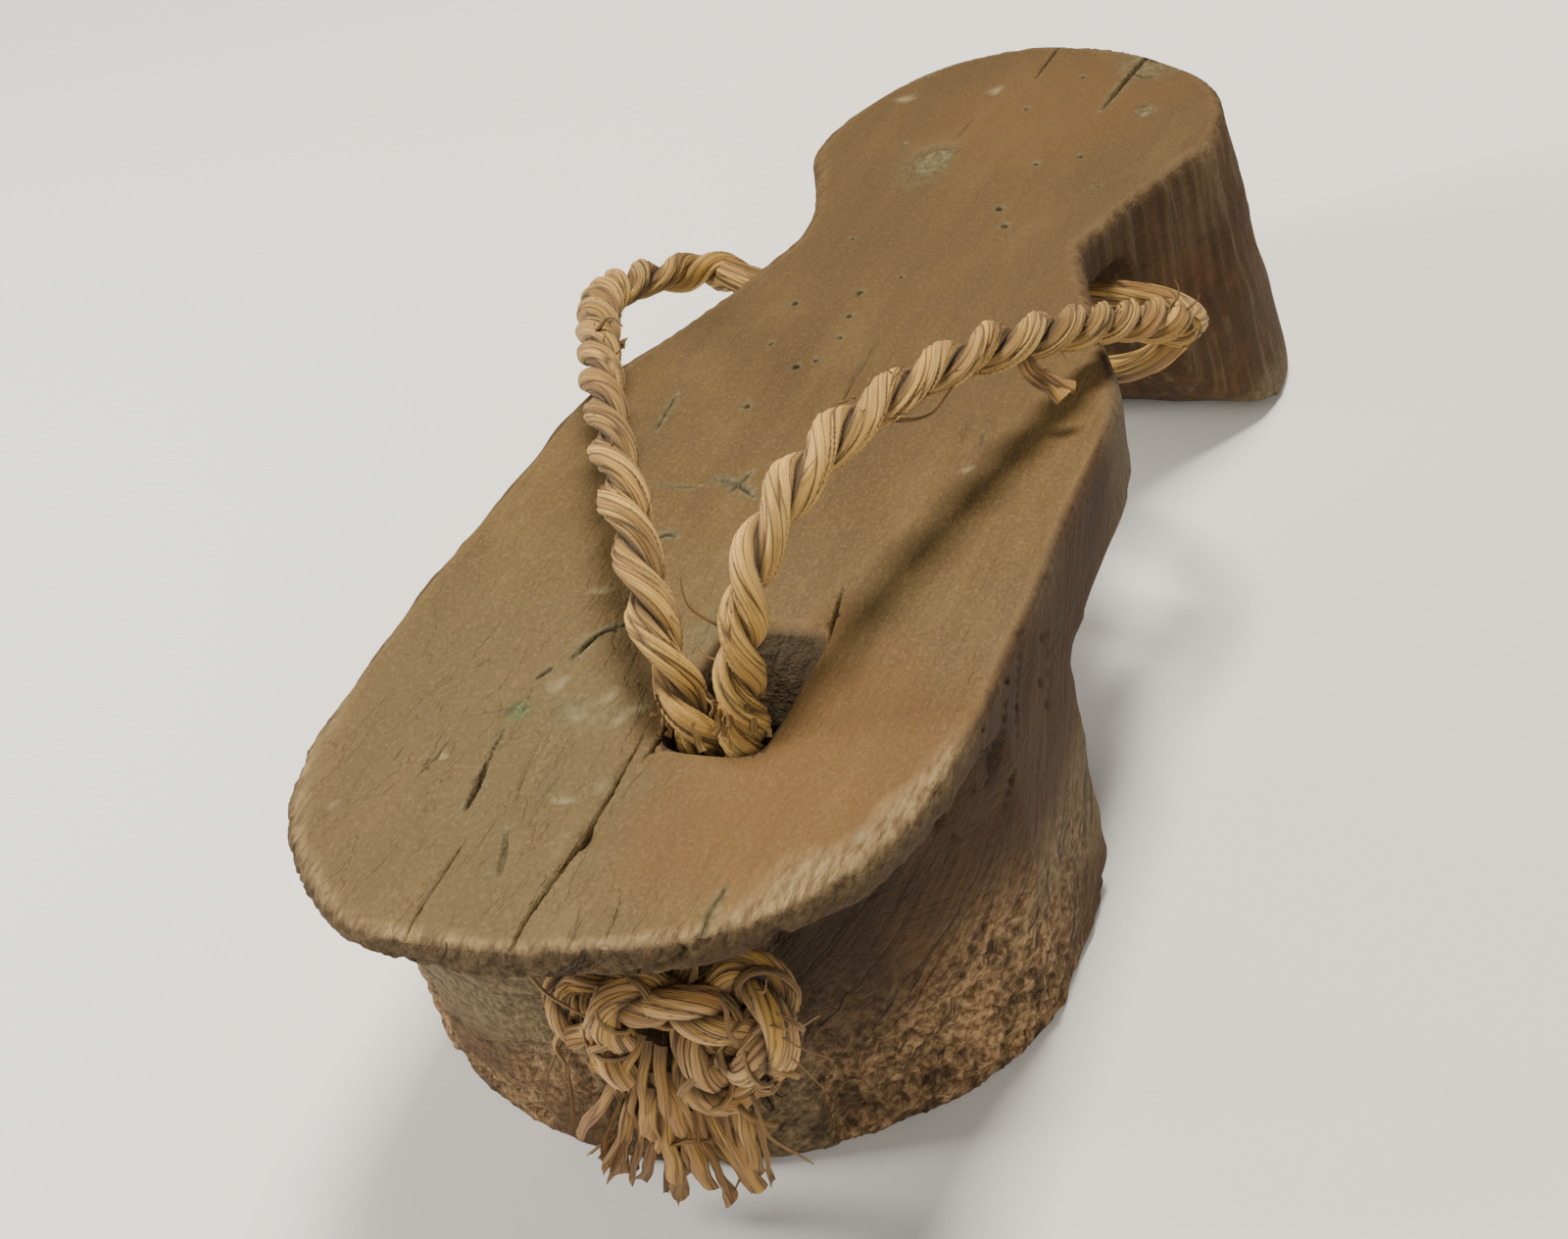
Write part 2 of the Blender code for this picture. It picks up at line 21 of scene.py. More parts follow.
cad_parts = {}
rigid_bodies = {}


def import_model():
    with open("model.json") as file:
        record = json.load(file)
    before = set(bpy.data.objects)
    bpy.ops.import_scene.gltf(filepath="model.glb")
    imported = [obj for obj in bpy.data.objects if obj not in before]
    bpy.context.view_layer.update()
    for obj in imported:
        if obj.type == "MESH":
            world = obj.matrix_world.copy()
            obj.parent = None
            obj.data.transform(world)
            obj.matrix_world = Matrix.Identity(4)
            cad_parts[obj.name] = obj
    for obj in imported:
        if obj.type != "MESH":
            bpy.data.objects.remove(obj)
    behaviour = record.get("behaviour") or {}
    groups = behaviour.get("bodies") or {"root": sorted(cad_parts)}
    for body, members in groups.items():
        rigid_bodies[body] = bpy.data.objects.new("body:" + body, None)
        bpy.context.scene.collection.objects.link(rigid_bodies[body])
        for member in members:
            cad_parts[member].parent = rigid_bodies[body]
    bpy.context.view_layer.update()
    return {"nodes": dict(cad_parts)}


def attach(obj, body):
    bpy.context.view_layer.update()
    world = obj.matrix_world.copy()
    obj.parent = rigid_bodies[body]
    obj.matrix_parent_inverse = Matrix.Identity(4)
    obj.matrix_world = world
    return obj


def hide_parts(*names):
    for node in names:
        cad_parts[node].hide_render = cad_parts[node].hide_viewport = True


for leftover in list(bpy.data.objects):
    bpy.data.objects.remove(leftover, do_unlink=True)
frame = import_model()
MM = 0.001
SOLE_IN_FRAME = np.array([5.0, -1.8, 0.0])    # where the sole's own middle lies, in millimetres


def metres(points):
    """Points of the sole's own frame, in millimetres, as points of the scene."""
    return (np.asarray(points, float) + SOLE_IN_FRAME) * MM


def sole_millimetres(points):
    """The other way round: points of the scene, in millimetres of the sole's own frame."""
    return np.asarray(points, float) / MM - SOLE_IN_FRAME


def shown(name, data):
    """A new object of the scene that holds the data."""
    obj = bpy.data.objects.new(name, data)
    bpy.context.scene.collection.objects.link(obj)
    return obj


@contextmanager
def editing(mesh):
    """Opens a mesh for editing, and writes it back at the end."""
    bm = bmesh.new()
    bm.from_mesh(mesh)
    yield bm
    bm.to_mesh(mesh)
    bm.free()


# %% [markdown]
# ## Where the eye stands
#
# A camera looks along its own -Z axis, so its matrix is three directions and a place. The forward
# direction is written down, the level right-hand one follows from a cross product with the
# vertical, and a roll of the head turns both. Each number then has a meaning, which three Euler
# angles would not.

# %% Camera
EYE = (147.73, -292.94, 252.83)
FORWARD = Vector((-0.40342, 0.70715, -0.58069)).normalized()
HEAD_ROLL = math.radians(-15.2)
LENS, SENSOR, NEAREST = 59.6, 36.0, 0.005
SANDAL_MIDDLE = (0, 0, 40)

level = FORWARD.cross(Vector((0, 0, 1))).normalized()
above = level.cross(FORWARD)
right = level * math.cos(HEAD_ROLL) + above * math.sin(HEAD_ROLL)
up = above * math.cos(HEAD_ROLL) - level * math.sin(HEAD_ROLL)
lens = bpy.data.cameras.new("eye")
lens.lens, lens.sensor_width, lens.clip_start = LENS, SENSOR, NEAREST
camera = shown("eye", lens)
turn = Matrix((right, up, -FORWARD)).transposed().to_4x4()
camera.matrix_world = Matrix.Translation(Vector(metres(EYE))) @ turn
bpy.context.scene.camera = camera
away = (camera.location - Vector(metres(SANDAL_MIDDLE))).length
print("camera is", round(away, 3), "m from the sandal")

# %% [markdown]
# ## Floor and light
#
# A plain pale floor catches the shadow that tells the eye that the sandal stands. Three lamps do
# the rest: a strong warm one almost overhead, which throws the shadow of the thong across the deck,
# a broad weak one from the front, and a small warm one that opens the shade under the toe. The
# world is a dim grey.

# %% Floor, lamps and world
FLOOR_SIZE = 4.0                     # metres
FLOOR_COLOUR, FLOOR_ROUGHNESS = (0.86, 0.85, 0.83, 1.0), 0.9
Lamp = namedtuple("Lamp", "name x y z size watts colour")
LAMPS = [
    Lamp("high_key", 40, 240, 900, 250, 14.0, (1.0, 0.92, 0.79)),
    Lamp("front_fill", 460, -800, 480, 460, 3.9, (1.0, 0.96, 0.90)),
    Lamp("left_fill", -700, -260, 420, 260, 7.5, (1.0, 0.94, 0.84)),
]
LAMPS_AIM = Vector((0, 0, 30)) * MM
SKY_COLOUR, SKY_STRENGTH = (1.0, 0.98, 0.95, 1.0), 0.16

floor_mesh = bpy.data.meshes.new("studio_floor")
with editing(floor_mesh) as bm:
    bmesh.ops.create_grid(bm, x_segments=1, y_segments=1, size=FLOOR_SIZE / 2)
floor = shown("studio_floor", floor_mesh)
floor_paint = bpy.data.materials.new("pale_floor")
floor_paint.use_nodes = True
shader = floor_paint.node_tree.nodes["Principled BSDF"]
shader.inputs["Base Color"].default_value = FLOOR_COLOUR
shader.inputs["Roughness"].default_value = FLOOR_ROUGHNESS
floor_mesh.materials.append(floor_paint)
for lamp in LAMPS:
    light = bpy.data.lights.new(lamp.name, "AREA")
    light.size, light.energy, light.color = lamp.size * MM, lamp.watts, lamp.colour
    place = Vector((lamp.x, lamp.y, lamp.z)) * MM
    aim = (LAMPS_AIM - place).to_track_quat("-Z", "Y")
    shown(lamp.name, light).matrix_world = Matrix.Translation(place) @ aim.to_matrix().to_4x4()
world = bpy.data.worlds.new("soft_room")
world.use_nodes = True
sky = world.node_tree.nodes["Background"]
sky.inputs["Color"].default_value, sky.inputs["Strength"].default_value = SKY_COLOUR, SKY_STRENGTH
bpy.context.scene.world = world
print(len(LAMPS), "lamps")

# %% [markdown]
# ## Noise that a carver's hand and the weather leave
#
# Old wood is uneven at every scale. A value noise gives that: a lattice of fixed random heights,
# blended smoothly between its corners, and worked out for whole arrays of points at once. The same
# seed gives the same wood each run. Stretching the points stretches the pattern, as grain is.

# %% Noise on arrays of points
def lattice_height(cell, seed):
    """A fixed random height between 0 and 1 for each whole-numbered lattice corner."""
    mixed = cell[:, 0] * 374761393 + cell[:, 1] * 668265263 + cell[:, 2] * 1274126177 + seed * 974711
    mixed = mixed & 0xFFFFFFFF
    mixed = ((mixed ^ (mixed >> 13)) * 1103515245) & 0xFFFFFFFF
    mixed = ((mixed ^ (mixed >> 16)) * 1597334677) & 0xFFFFFFFF
    return ((mixed ^ (mixed >> 15)) & 0xFFFFFF) / float(0xFFFFFF)


def lattice(points, per_mm):
    """Points on the lattice's own scale, and the whole-numbered corner below each."""
    scaled = np.asarray(points) * np.asarray(per_mm)
    return scaled, np.floor(scaled).astype(np.int64)


def noise(points, per_mm, seed):
    """Smooth noise from 0 to 1 at points in millimetres. per_mm is its fineness, for all axes or for each."""
    scaled, base = lattice(points, per_mm)
    part = scaled - base
    part = part * part * (3 - 2 * part)
    total = np.zeros(len(scaled))
    for corner in ((i, j, k) for i in (0, 1) for j in (0, 1) for k in (0, 1)):
        weight = np.prod(np.where(corner, part, 1 - part), axis=1)
        total += weight * lattice_height(base + corner, seed)
    return total


def rough_noise(points, per_mm, seed, octaves=3):
    """Noise with finer noise laid on it, each octave half as strong."""
    fineness, strength, total, whole = np.array(per_mm, float), 1.0, 0.0, 0.0
    for octave in range(octaves):
        total = total + strength * noise(points, fineness, seed + 17 * octave)
        whole += strength
        fineness, strength = fineness * 2.03, strength * 0.5
    return total / whole


def held(values):
    return np.clip(values, 0.0, 1.0)


def ramp(values, low, high):
    """0 at low, 1 at high, smooth between."""
    t = held((np.asarray(values, float) - low) / (high - low))
    return t * t * (3 - 2 * t)


sample = noise(np.random.default_rng(1).random((500, 3)) * 90, 1.0, 3)
print("noise runs from", *np.round(np.quantile(sample, (0, 1)), 2))

# %% [markdown]
# ## Marks on the deck
#
# The marks that catch the eye are listed one by one: the long split from the rope hole to the toe,
# shorter splits along the grain, gouges, dents and worm holes. A random scatter would be quicker,
# but a crack tells where the wood dried and where the foot and the rope pulled.

# %% Tables of cracks, gouges and pits
Crack = namedtuple("Crack", "line width depth dark stain")   # millimetres; dark and stain from 0 to 1
CRACKS = [Crack(*row) for row in (
    ([(-11.4, -121), (-11.7, -111.1), (-11.8, -101.1)], 0.18, 1.3, 0.95, 0),
    ([(2.7, -121), (2.4, -112.9), (2.9, -105.3), (3.2, -95.1), (2.9, -88.8), (2.4, -79)], 0.34, 2.6, 1, 0.05),
    ([(3.1, -104), (3.3, -99), (3.2, -94.4)], 0.44, 2, 1, 0),
    ([(4.4, -84.8), (4.9, -80), (5, -73.6)], 0.26, 1.6, 0.95, 0),
    ([(-14.6, -96.8), (-15.2, -92), (-16.2, -87)], 0.55, 1.5, 0.85, 0.3),
    ([(-15.7, -89.4), (-16.6, -84), (-17, -80)], 0.24, 0.7, 0.6, 0.2),
    ([(24.5, -114.4), (24, -109.4), (24.2, -104.8)], 0.32, 0.6, 0.35, 0.75),
    ([(13.5, -116.4), (12.8, -109.3)], 0.15, 0.6, 0.5, 0.2),
    ([(9.4, -117.4), (9.2, -112.2)], 0.13, 0.5, 0.4, 0.2),
    ([(-24.6, -92.6), (-23.8, -88.2), (-23.5, -82.6)], 0.2, 0.5, 0.55, 0.1),
    ([(-29.3, -88.9), (-29.2, -85.7)], 0.18, 0.4, 0.5, 0.1),
    ([(-27.6, -69.2), (-25.8, -66.4)], 0.16, 0.4, 0.45, 0.1),
    ([(-22.5, -83.7), (-21.6, -88)], 0.14, 0.3, 0.4, 0),
    ([(-27.4, -95.6), (-26.6, -92)], 0.14, 0.3, 0.4, 0),
    ([(-20.2, -74.6), (-18.6, -79.4)], 0.12, 0.3, 0.35, 0.1),
    ([(-11.3, -80), (-9.7, -89.6), (-8.3, -97)], 0.12, 0.35, 0.35, 0),
    ([(-24, -79.4), (-19, -77), (-15, -72.6)], 0.13, 0.3, 0.3, 0.1),
    ([(-10.8, -57.6), (-13.2, -60.4), (-14.4, -65.8)], 0.6, 1.5, 0.85, 0.7),
    ([(-12, -59.6), (-9.6, -57), (-8.6, -55.6)], 0.34, 0.8, 0.45, 0.7),
    ([(-17.4, -70.4), (-16.2, -67.6)], 0.4, 0.9, 0.75, 0.4),
    ([(-7.5, -99), (-5.8, -103.1), (-4.4, -107.8)], 0.5, 0.6, 0.3, 0.35),
    ([(-5, -88), (-5.6, -94)], 0.14, 0.3, 0.35, 0),
    ([(1.8, -16), (0.6, -6), (0.2, 9.6), (0, 17.4)], 0.16, 0.5, 0.6, 0.05),
    ([(-2.1, 106.6), (-1.9, 109.1), (-1.2, 122)], 0.3, 0.8, 0.75, 0.05),
    ([(-9, 83.1), (-8.5, 93.2)], 0.16, 0.3, 0.5, 0.05),
    ([(-25.8, -11), (-26.6, -5), (-26.9, 0.4)], 0.26, 0.7, 0.5, 0.75),
    ([(19.6, -59.4), (18.4, -53), (17.2, -46.4)], 0.28, 1.2, 1, 0),
    ([(14, 92.6), (15.3, 105.4), (16.1, 112.5), (17, 121.5)], 0.6, 1.2, 0.75, 0.45),
    ([(15.6, 107.6), (18.2, 105.8), (20.8, 106.6)], 0.42, 0.8, 0.55, 0.6),
    ([(16, 114.4), (19, 112.2), (22.4, 113)], 0.5, 0.9, 0.55, 0.7),
    ([(-19.4, -24.8), (-14.4, -25), (-12.6, -24.4)], 0.26, 0.4, 0.25, 0.6),
    ([(-12, -22.4), (-7.4, -23.6), (-3.2, -27.2)], 0.45, 0.7, 0.55, 0.9),
    ([(-6.2, -20.2), (-7.8, -26.4)], 0.32, 0.5, 0.45, 0.8),
    ([(-14.4, -38), (-12.6, -36.6), (-11, -37.4)], 0.45, 0.6, 0.45, 0.8),
    ([(26, -14.6), (24.6, -8)], 0.2, 0.3, 0.35, 0.4),
    ([(22.6, -12.6), (21.4, -5)], 0.14, 0.3, 0.3, 0.1),
)]
Pit = namedtuple("Pit", "x y radius depth")
PITS = [Pit(*row) for row in (
    (6.6, 57.7, 0.85, 1.6), (9.3, 52, 0.85, 1.5), (-15.8, 48.3, 0.5, 0.9), (-17.9, 27.3, 0.75, 1.3),
    (-7.3, 23.3, 0.7, 1.3), (-8.1, 30.6, 0.75, 1.2), (-10.5, 8.1, 0.8, 1.6), (-8, 10.1, 0.6, 0.9),
    (-6.4, 16.8, 0.55, 1), (-14.1, -3.2, 0.75, 1.5), (-17.4, 14.9, 0.6, 0.8), (-2.8, 35.3, 0.45, 0.8),
    (8.2, 73.5, 0.7, 1.1), (15.1, 76, 0.65, 1), (21.2, 65, 0.4, 0.7), (0.1, 94.9, 0.6, 1),
    (6.9, 106.8, 0.6, 0.9), (-1.8, 108.2, 0.6, 0.8), (-18, 82.4, 0.4, 0.6), (-23.3, 109.6, 0.5, 0.7),
)]
Spot = namedtuple("Spot", "x y length across height")        # shallow dents, and height below the deck
DENTS = [Spot(*row) for row in (
    (-2.9, -93, 1.6, 3.4, 0.4), (0.5, -90.2, 1.2, 2.4, 0.3), (-0.8, -75.1, 1.3, 2.6, 0.3),
    (-5.5, -72.4, 2.4, 1.6, 0.35), (-8.2, -77.1, 2.6, 2.2, 0.4), (-17.1, -50.9, 1.2, 3, 0.3),
    (-23.5, -87, 1.4, 2.6, 0.3), (-32.8, -99, 2.6, 1.8, 0.5), (-14, -71.4, 3.6, 1.4, 0.3),
    (25.4, -19, 2.6, 1.2, 0.25), (36.6, -94.6, 3, 1.3, 0.35), (33, -101, 2.6, 1.1, 0.3),
    (-24.1, 100.1, 2, 3.4, 0.3), (-8.1, 102.5, 3.4, 1.6, 0.3), (-2, -77, 2, 1.2, 0.3),
)]
RINGS = [Pit(-10.8, 75.8, 3.7, 1.0), Pit(21.9, 92.4, 1.7, 0.6)]   # where a branch grew
DECK_MID, DECK_SLOPE = 55.3, -0.035                          # the deck's height at the middle, and its fall
print(len(CRACKS), "cracks,", len(PITS), "pits and", len(DENTS), "dents")

# %% [markdown]
# ## A fine skin for the carving
#
# The solid of the sole has few, large faces, and nothing to dent. A voxel remesh wraps it in even
# little quads, and closes over the sharp arrises just as wear does. The quads near the cracks and
# along the toe are then split again, because a crack half a millimetre wide needs points closer
# than that.

# %% Remesh the sole, and refine it where the marks are
VOXEL, WELD, MARKS_REACH_DOWN = 1.15, 0.01, 6.0
SPLITS = ((0.75, 1.0), (0.38, 0.6), (0.19, 0.25))        # longest edge, and how far from a mark
TOE_FROM, TOE_LOW, TOE_HIGH, TOE_EDGE = -72.0, DECK_MID - 4.5, 58.4, 0.62
NEARLY_LEVEL = 0.97                                      # of a normal's upright part


def line_distance(xy, line):
    """Distance of each point from a line of points, and how far along it the nearest place is, 0 to 1."""
    line = np.asarray(line, float)
    lengths = np.linalg.norm(np.diff(line, axis=0), axis=1)
    reached = np.concatenate([[0.0], np.cumsum(lengths)])
    best, along = np.full(len(xy), np.inf), np.zeros(len(xy))
    for start, end, length, before in zip(line, line[1:], lengths, reached):
        share = held(((xy - start) @ (end - start)) / length**2)
        gap = np.linalg.norm(xy - (start + share[:, None] * (end - start)), axis=1)
        nearer = gap < best
        best[nearer] = gap[nearer]
        along[nearer] = (before + share[nearer] * length) / reached[-1]
    return best, along


def near_marks(points, margin):
    """True where the deck needs finer faces: within the margin of a crack or a pit."""
    wanted = np.zeros(len(points), bool)
    for crack in CRACKS:
        wanted |= line_distance(points[:, :2], crack.line)[0] < crack.width + margin
    for pit in PITS:
        wanted |= np.hypot(points[:, 0] - pit.x, points[:, 1] - pit.y) < pit.radius + margin
    return wanted & (points[:, 2] > DECK_MID - MARKS_REACH_DOWN)


def places(bm):
    return sole_millimetres([v.co for v in bm.verts])


def split_edges(bm, chosen, longest):
    """Splits the edges whose ends are both chosen, where they are longer than asked."""
    edges = [e for e in bm.edges if chosen[e.verts[0].index] and chosen[e.verts[1].index]
             and e.calc_length() > longest * MM]
    bmesh.ops.subdivide_edges(bm, edges=edges, cuts=1, use_grid_fill=True)
    bm.verts.index_update()


def baked(obj):
    """What an object's modifiers make of it, as a plain mesh. The object itself goes."""
    mesh = bpy.data.meshes.new_from_object(obj.evaluated_get(bpy.context.evaluated_depsgraph_get()))
    bpy.data.objects.remove(obj, do_unlink=True)
    return mesh


def triangle_count(mesh):
    return sum(len(p.vertices) - 2 for p in mesh.polygons)


blank = shown("carved_sole_blank", frame["nodes"]["wooden_sole"].data.copy())
with editing(blank.data) as bm:
    bmesh.ops.remove_doubles(bm, verts=bm.verts, dist=WELD * MM)
wrap = blank.modifiers.new("even skin", "REMESH")
wrap.mode, wrap.voxel_size, wrap.use_smooth_shade = "VOXEL", VOXEL * MM, True
skin = baked(blank)
with editing(skin) as bm:
    for longest, margin in SPLITS:
        split_edges(bm, near_marks(places(bm), margin), longest)
    points = places(bm)
    toe_arris = (points[:, 1] < TOE_FROM) & (points[:, 2] > TOE_LOW) & (points[:, 2] < TOE_HIGH)
    toe_arris &= np.abs([v.normal.z for v in bm.verts]) < NEARLY_LEVEL
    split_edges(bm, toe_arris, TOE_EDGE)
    bmesh.ops.triangulate(bm, faces=[f for f in bm.faces if len(f.verts) > 4])
print("sole skin has", triangle_count(skin), "triangles")

# %% [markdown]
# ## Carving by numbers
#
# Every point of the skin is now moved along its own normal: inwards where there is a mark, and a
# little outwards between marks, but hardly at all in the slot, so that the wood keeps clear of the
# rope. First the points are sorted by where they lie. The deck is told from the flanks by the way
# it faces, the two blocks by their place along the sole, and the slot by the box that was cut for
# it.

# %% Where each point of the skin lies
SLOT_X, SLOT_Y = (-7.5, 21.0), (-104.0, -55.0)
DECK_THICK, UPPER_THICK, UPPER_FROM = 4.0, 5.5, 45.0
FRONT_BLOCK_FROM, HEEL_BLOCK_FROM = (30, 38), (52, 60)   # towards the toe, and towards the heel
SLOT_SPARED = 0.85                                       # the slot is spared this share of the weathering


def coordinates(mesh, what="co"):
    found = np.empty(len(mesh.vertices) * 3, np.float32)
    mesh.vertices.foreach_get(what, found)
    return found.reshape(-1, 3).astype(float)


here = sole_millimetres(coordinates(skin))
facing = coordinates(skin, "normal")
x, y, z = here.T                                 # views, which follow the points as they move
below_deck = DECK_MID + DECK_SLOPE * y - z
deck = ramp(facing[:, 2], 0.75, 0.95) * (below_deck < DECK_THICK)
upper = (below_deck < UPPER_THICK) & (z > UPPER_FROM)
front_block = ramp(-y, *FRONT_BLOCK_FROM) * (1 - deck)
heel_block = ramp(y, *HEEL_BLOCK_FROM) * (1 - deck)
slot = (x > SLOT_X[0]) & (x < SLOT_X[1]) & (y > SLOT_Y[0]) & (y < SLOT_Y[1])
slot = slot * (1 - deck) * (below_deck > 0.8)
flank = (1 - deck) * (1 - SLOT_SPARED * slot)
print("deck", round(float(deck.mean()), 3), "and slot", round(float(slot.mean()), 3), "of the points")

# %% [markdown]
# ## Cutting the marks
#
# A crack tapers to both its ends, and noise makes it wider and narrower on the way. How deep each
# mark went is also kept as a value on the point, so that the paint can follow the carving exactly.
# Where marks cross, the strongest of them counts.

# %% Cut the cracks, pits, dents and rings
inward = np.zeros(len(here))
marks = {}


def mark(name, amount):
    """Keeps the strongest amount that each point has been given under this name."""
    marks[name] = np.maximum(marks.get(name, 0.0), amount)


wobble = noise(here, (0.5, 0.22, 0.5), 5) - 0.5
plan = here[:, :2] + np.column_stack([0.18 * wobble, 0 * wobble])
for number, crack in enumerate(CRACKS):
    gap, along = line_distance(plan, crack.line)
    taper = held(1 - np.abs(2 * along - 1) ** 3)
    uneven = 0.75 + 0.5 * noise(here, (0.3, 0.25, 0.3), 40 + number)
    width = crack.width * (0.4 + 0.6 * taper) * uneven
    share = held(1 - gap / width) * upper
    inward += crack.depth * taper * share**0.8 * deck
    mark("cut", crack.dark * taper * held(1.6 * share))
    mark("stain", crack.stain * held(1.3 - gap / (2.4 * width)) * deck)
for pit in PITS:
    gap = np.hypot(plan[:, 0] - pit.x, (plan[:, 1] - pit.y) * 0.8)
    share = held(1 - (gap / (0.8 * pit.radius)) ** 2)
    inward += 0.75 * pit.depth * share * deck
    mark("cut", 0.85 * ramp(share, 0.25, 0.8) * deck)
    mark("stain", 0.7 * held(1.5 - gap / pit.radius) * deck)
rubbed = ramp(noise(here, (1.2, 0.4, 1.2), 57), 0.30, 0.55)
for spot in DENTS:
    dent = held(1 - (((x - spot.x) / spot.across) ** 2 + ((y - spot.y) / spot.length) ** 2) * 2) * deck
    inward += spot.height * dent
    mark("scuff", held(1.3 * dent) * rubbed)
for ring in RINGS:
    away = np.hypot(x - ring.x, 0.72 * (y - ring.y)) / ring.radius
    away += 0.35 * (noise(here, (0.35, 0.25, 0.35), 58) - 0.5)
    shaded = 1 - ramp(y - x - ring.y + ring.x, 1.2 * ring.radius, -1.2 * ring.radius)
    groove = held(1 - np.abs(away - 1) / 0.22) * deck
    inward += ring.depth * (groove * (0.35 + 0.65 * shaded) + 0.30 * ramp(away, 0.95, 0.5) * deck)
    mark("cut", 0.62 * groove * shaded)
    mark("stain", 0.72 * ramp(away, 1.15, 0.75) * deck)
print("deepest mark on the deck:", round(float(inward.max()), 2), "mm")

# %% [markdown]
# ## Weathering the blocks
#
# The deck is worn smooth, so it takes just a faint swell. The flanks keep shallow facets from the
# adze, and furrows and drying cracks along a grain that leans up and back. The heel keeps gouge
# strokes. The lower half of the front block is eaten away into clods: each point finds its two
# nearest cell centres, and where both are as near, there is a crack.

# %% Weather the flanks
ACROSS_GRAIN = np.array([0.32, 0.68, -0.66])
ALONG_GRAIN = np.array([0.285, 0.597, 0.75])
BIG_CLODS, SMALL_CLODS = (0.17, 0.12, 0.24), (0.55, 0.42, 0.6)       # how many to a millimetre, each way
CLOD_CRACK, GOUGE_WIDTH = 0.22, 2.9                                  # a share of a clod, and millimetres


def clods(points, per_mm, seed):
    """Crumbled ground: 1 in the cracks between clods and 0 on them, and each clod's own height, 0 to 1."""
    scaled, base = lattice(points, per_mm)
    nearest, second, height = np.full(len(scaled), 9.0), np.full(len(scaled), 9.0), np.zeros(len(scaled))
    for offset in ((i, j, k) for i in (-1, 0, 1) for j in (-1, 0, 1) for k in (-1, 0, 1)):
        cell = base + offset
        jitter = np.column_stack([lattice_height(cell, seed + axis) for axis in (0, 1, 2)])
        gap = np.linalg.norm(scaled - cell - 0.1 - 0.8 * jitter, axis=1)
        second = np.minimum(second, np.maximum(gap, nearest))
        height = np.where(gap < nearest, jitter[:, 0], height)
        nearest = np.minimum(nearest, gap)
    return 1 - ramp(second - nearest, 0.0, CLOD_CRACK), height


swell = 0.28 * (rough_noise(here, (0.045, 0.02, 0.045), 11, 2) - 0.5)
facets = 1.1 * np.abs(rough_noise(here, (0.055, 0.05, 0.07), 21, 2) - 0.5)
facets += 0.4 * noise(here, (0.16, 0.12, 0.22), 23)

low_down = 33.0 - z + 24 * (noise(here, 0.06, 33) - 0.5)
torn_back = 34 * (rough_noise(here, (0.06, 0.06, 0.10), 35) - 0.5)
eaten = front_block * ramp(low_down, -4, 19) * ramp(torn_back - y, 42, 78)
sound = ramp(-x, -3, 10) * ramp(noise(here, (0.075, 0.075, 0.06), 37), 0.66, 0.40)
eaten *= 1 - 0.88 * sound                        # the little-toe side has kept whole patches
warped = here + 2.2 * np.column_stack([noise(here, 0.3, seed) - 0.5 for seed in (71, 72, 73)])
big_cracks, big_height = clods(warped, BIG_CLODS, 81)
small_cracks, small_height = clods(warped, SMALL_CLODS, 85)
crumbled = eaten * (0.9 * big_cracks + 0.8 * big_height + 0.45 * small_cracks + 0.45 * small_height)

foot = front_block * ramp(z, 7, 1) * ramp(noise(here, 0.15, 88), 0.35, 0.7)
leaning = np.column_stack([here @ ACROSS_GRAIN, here @ ALONG_GRAIN, 0 * x])
drying = rough_noise(leaning, (0.16, 0.016, 1.0), 91, 2)
checks = front_block * ramp(np.abs(drying - 0.5), 0.012, 0.0) * ramp(noise(here, 0.06, 93), 0.42, 0.66)
furrows = front_block * 0.5 * rough_noise(leaning, (0.42, 0.045, 1.0), 39, 2)
across_heel = 0.8 * x + 0.6 * y + 1.6 * noise(here, (0.2, 0.2, 0.05), 95)
gouged = heel_block * ramp(0.6 * facing[:, 0] - 0.8 * facing[:, 1], 0.1, 0.5)
gouged *= 0.85 * np.abs(np.sin(math.pi * across_heel / GOUGE_WIDTH))
gouged *= ramp(z + 14 * noise(here, 0.12, 97), 26, 42)
inward += deck * swell + flank * (facets + crumbled + 1.2 * foot + 0.7 * checks + furrows + gouged - 0.55)
mark("cut", flank * np.maximum(0.55 * eaten * big_cracks, 0.8 * checks))
# Painted shade: the inside of the slot, under the toe, is darkened.
mark("cut", 0.38 * slot)
print("eaten share of the front block:", round(float(eaten.sum() / front_block.sum()), 2))

# %% [markdown]
# ## Chewing the toe
#
# The rim of the toe is frayed by knocks. To find how far inside the rim a point lies, the points
# are sorted into narrow sectors about a middle, and the farthest in each sector is the rim. Then
# come two chips, a split that the knots half hide, and a patch of painted shade on the flank beside
# the right knot, under the deck's overhang, and all the points are moved at once.

# %% Chew the toe, and move the points
TOE_MIDDLE, SECTORS = np.array([0.0, -76.0]), 180
CHIPS = ((31.2, -109.4, 55.0, 1.5, 2.6), (17.6, 121.0, 50.0, 2.4, 1.8))       # x, y, z, radius and depth
# The split's middle, and the middle of a patch of painted shade beside the right knot.
SPLIT_AT, KNOT_SIDE_SHADE_AT = (0.2, -101.0, 16.8), (26.5, -95.0, 30.0)
SPLIT_DEPTH, TREADS_BELOW, TREADS_SPARED = 1.6, 3.0, 0.9                     # the treads stay nearly flat


def away_from(place, stretch):
    """How far each point is from a place, with each axis stretched by its own factor."""
    return np.linalg.norm((here - place) * stretch, axis=1)


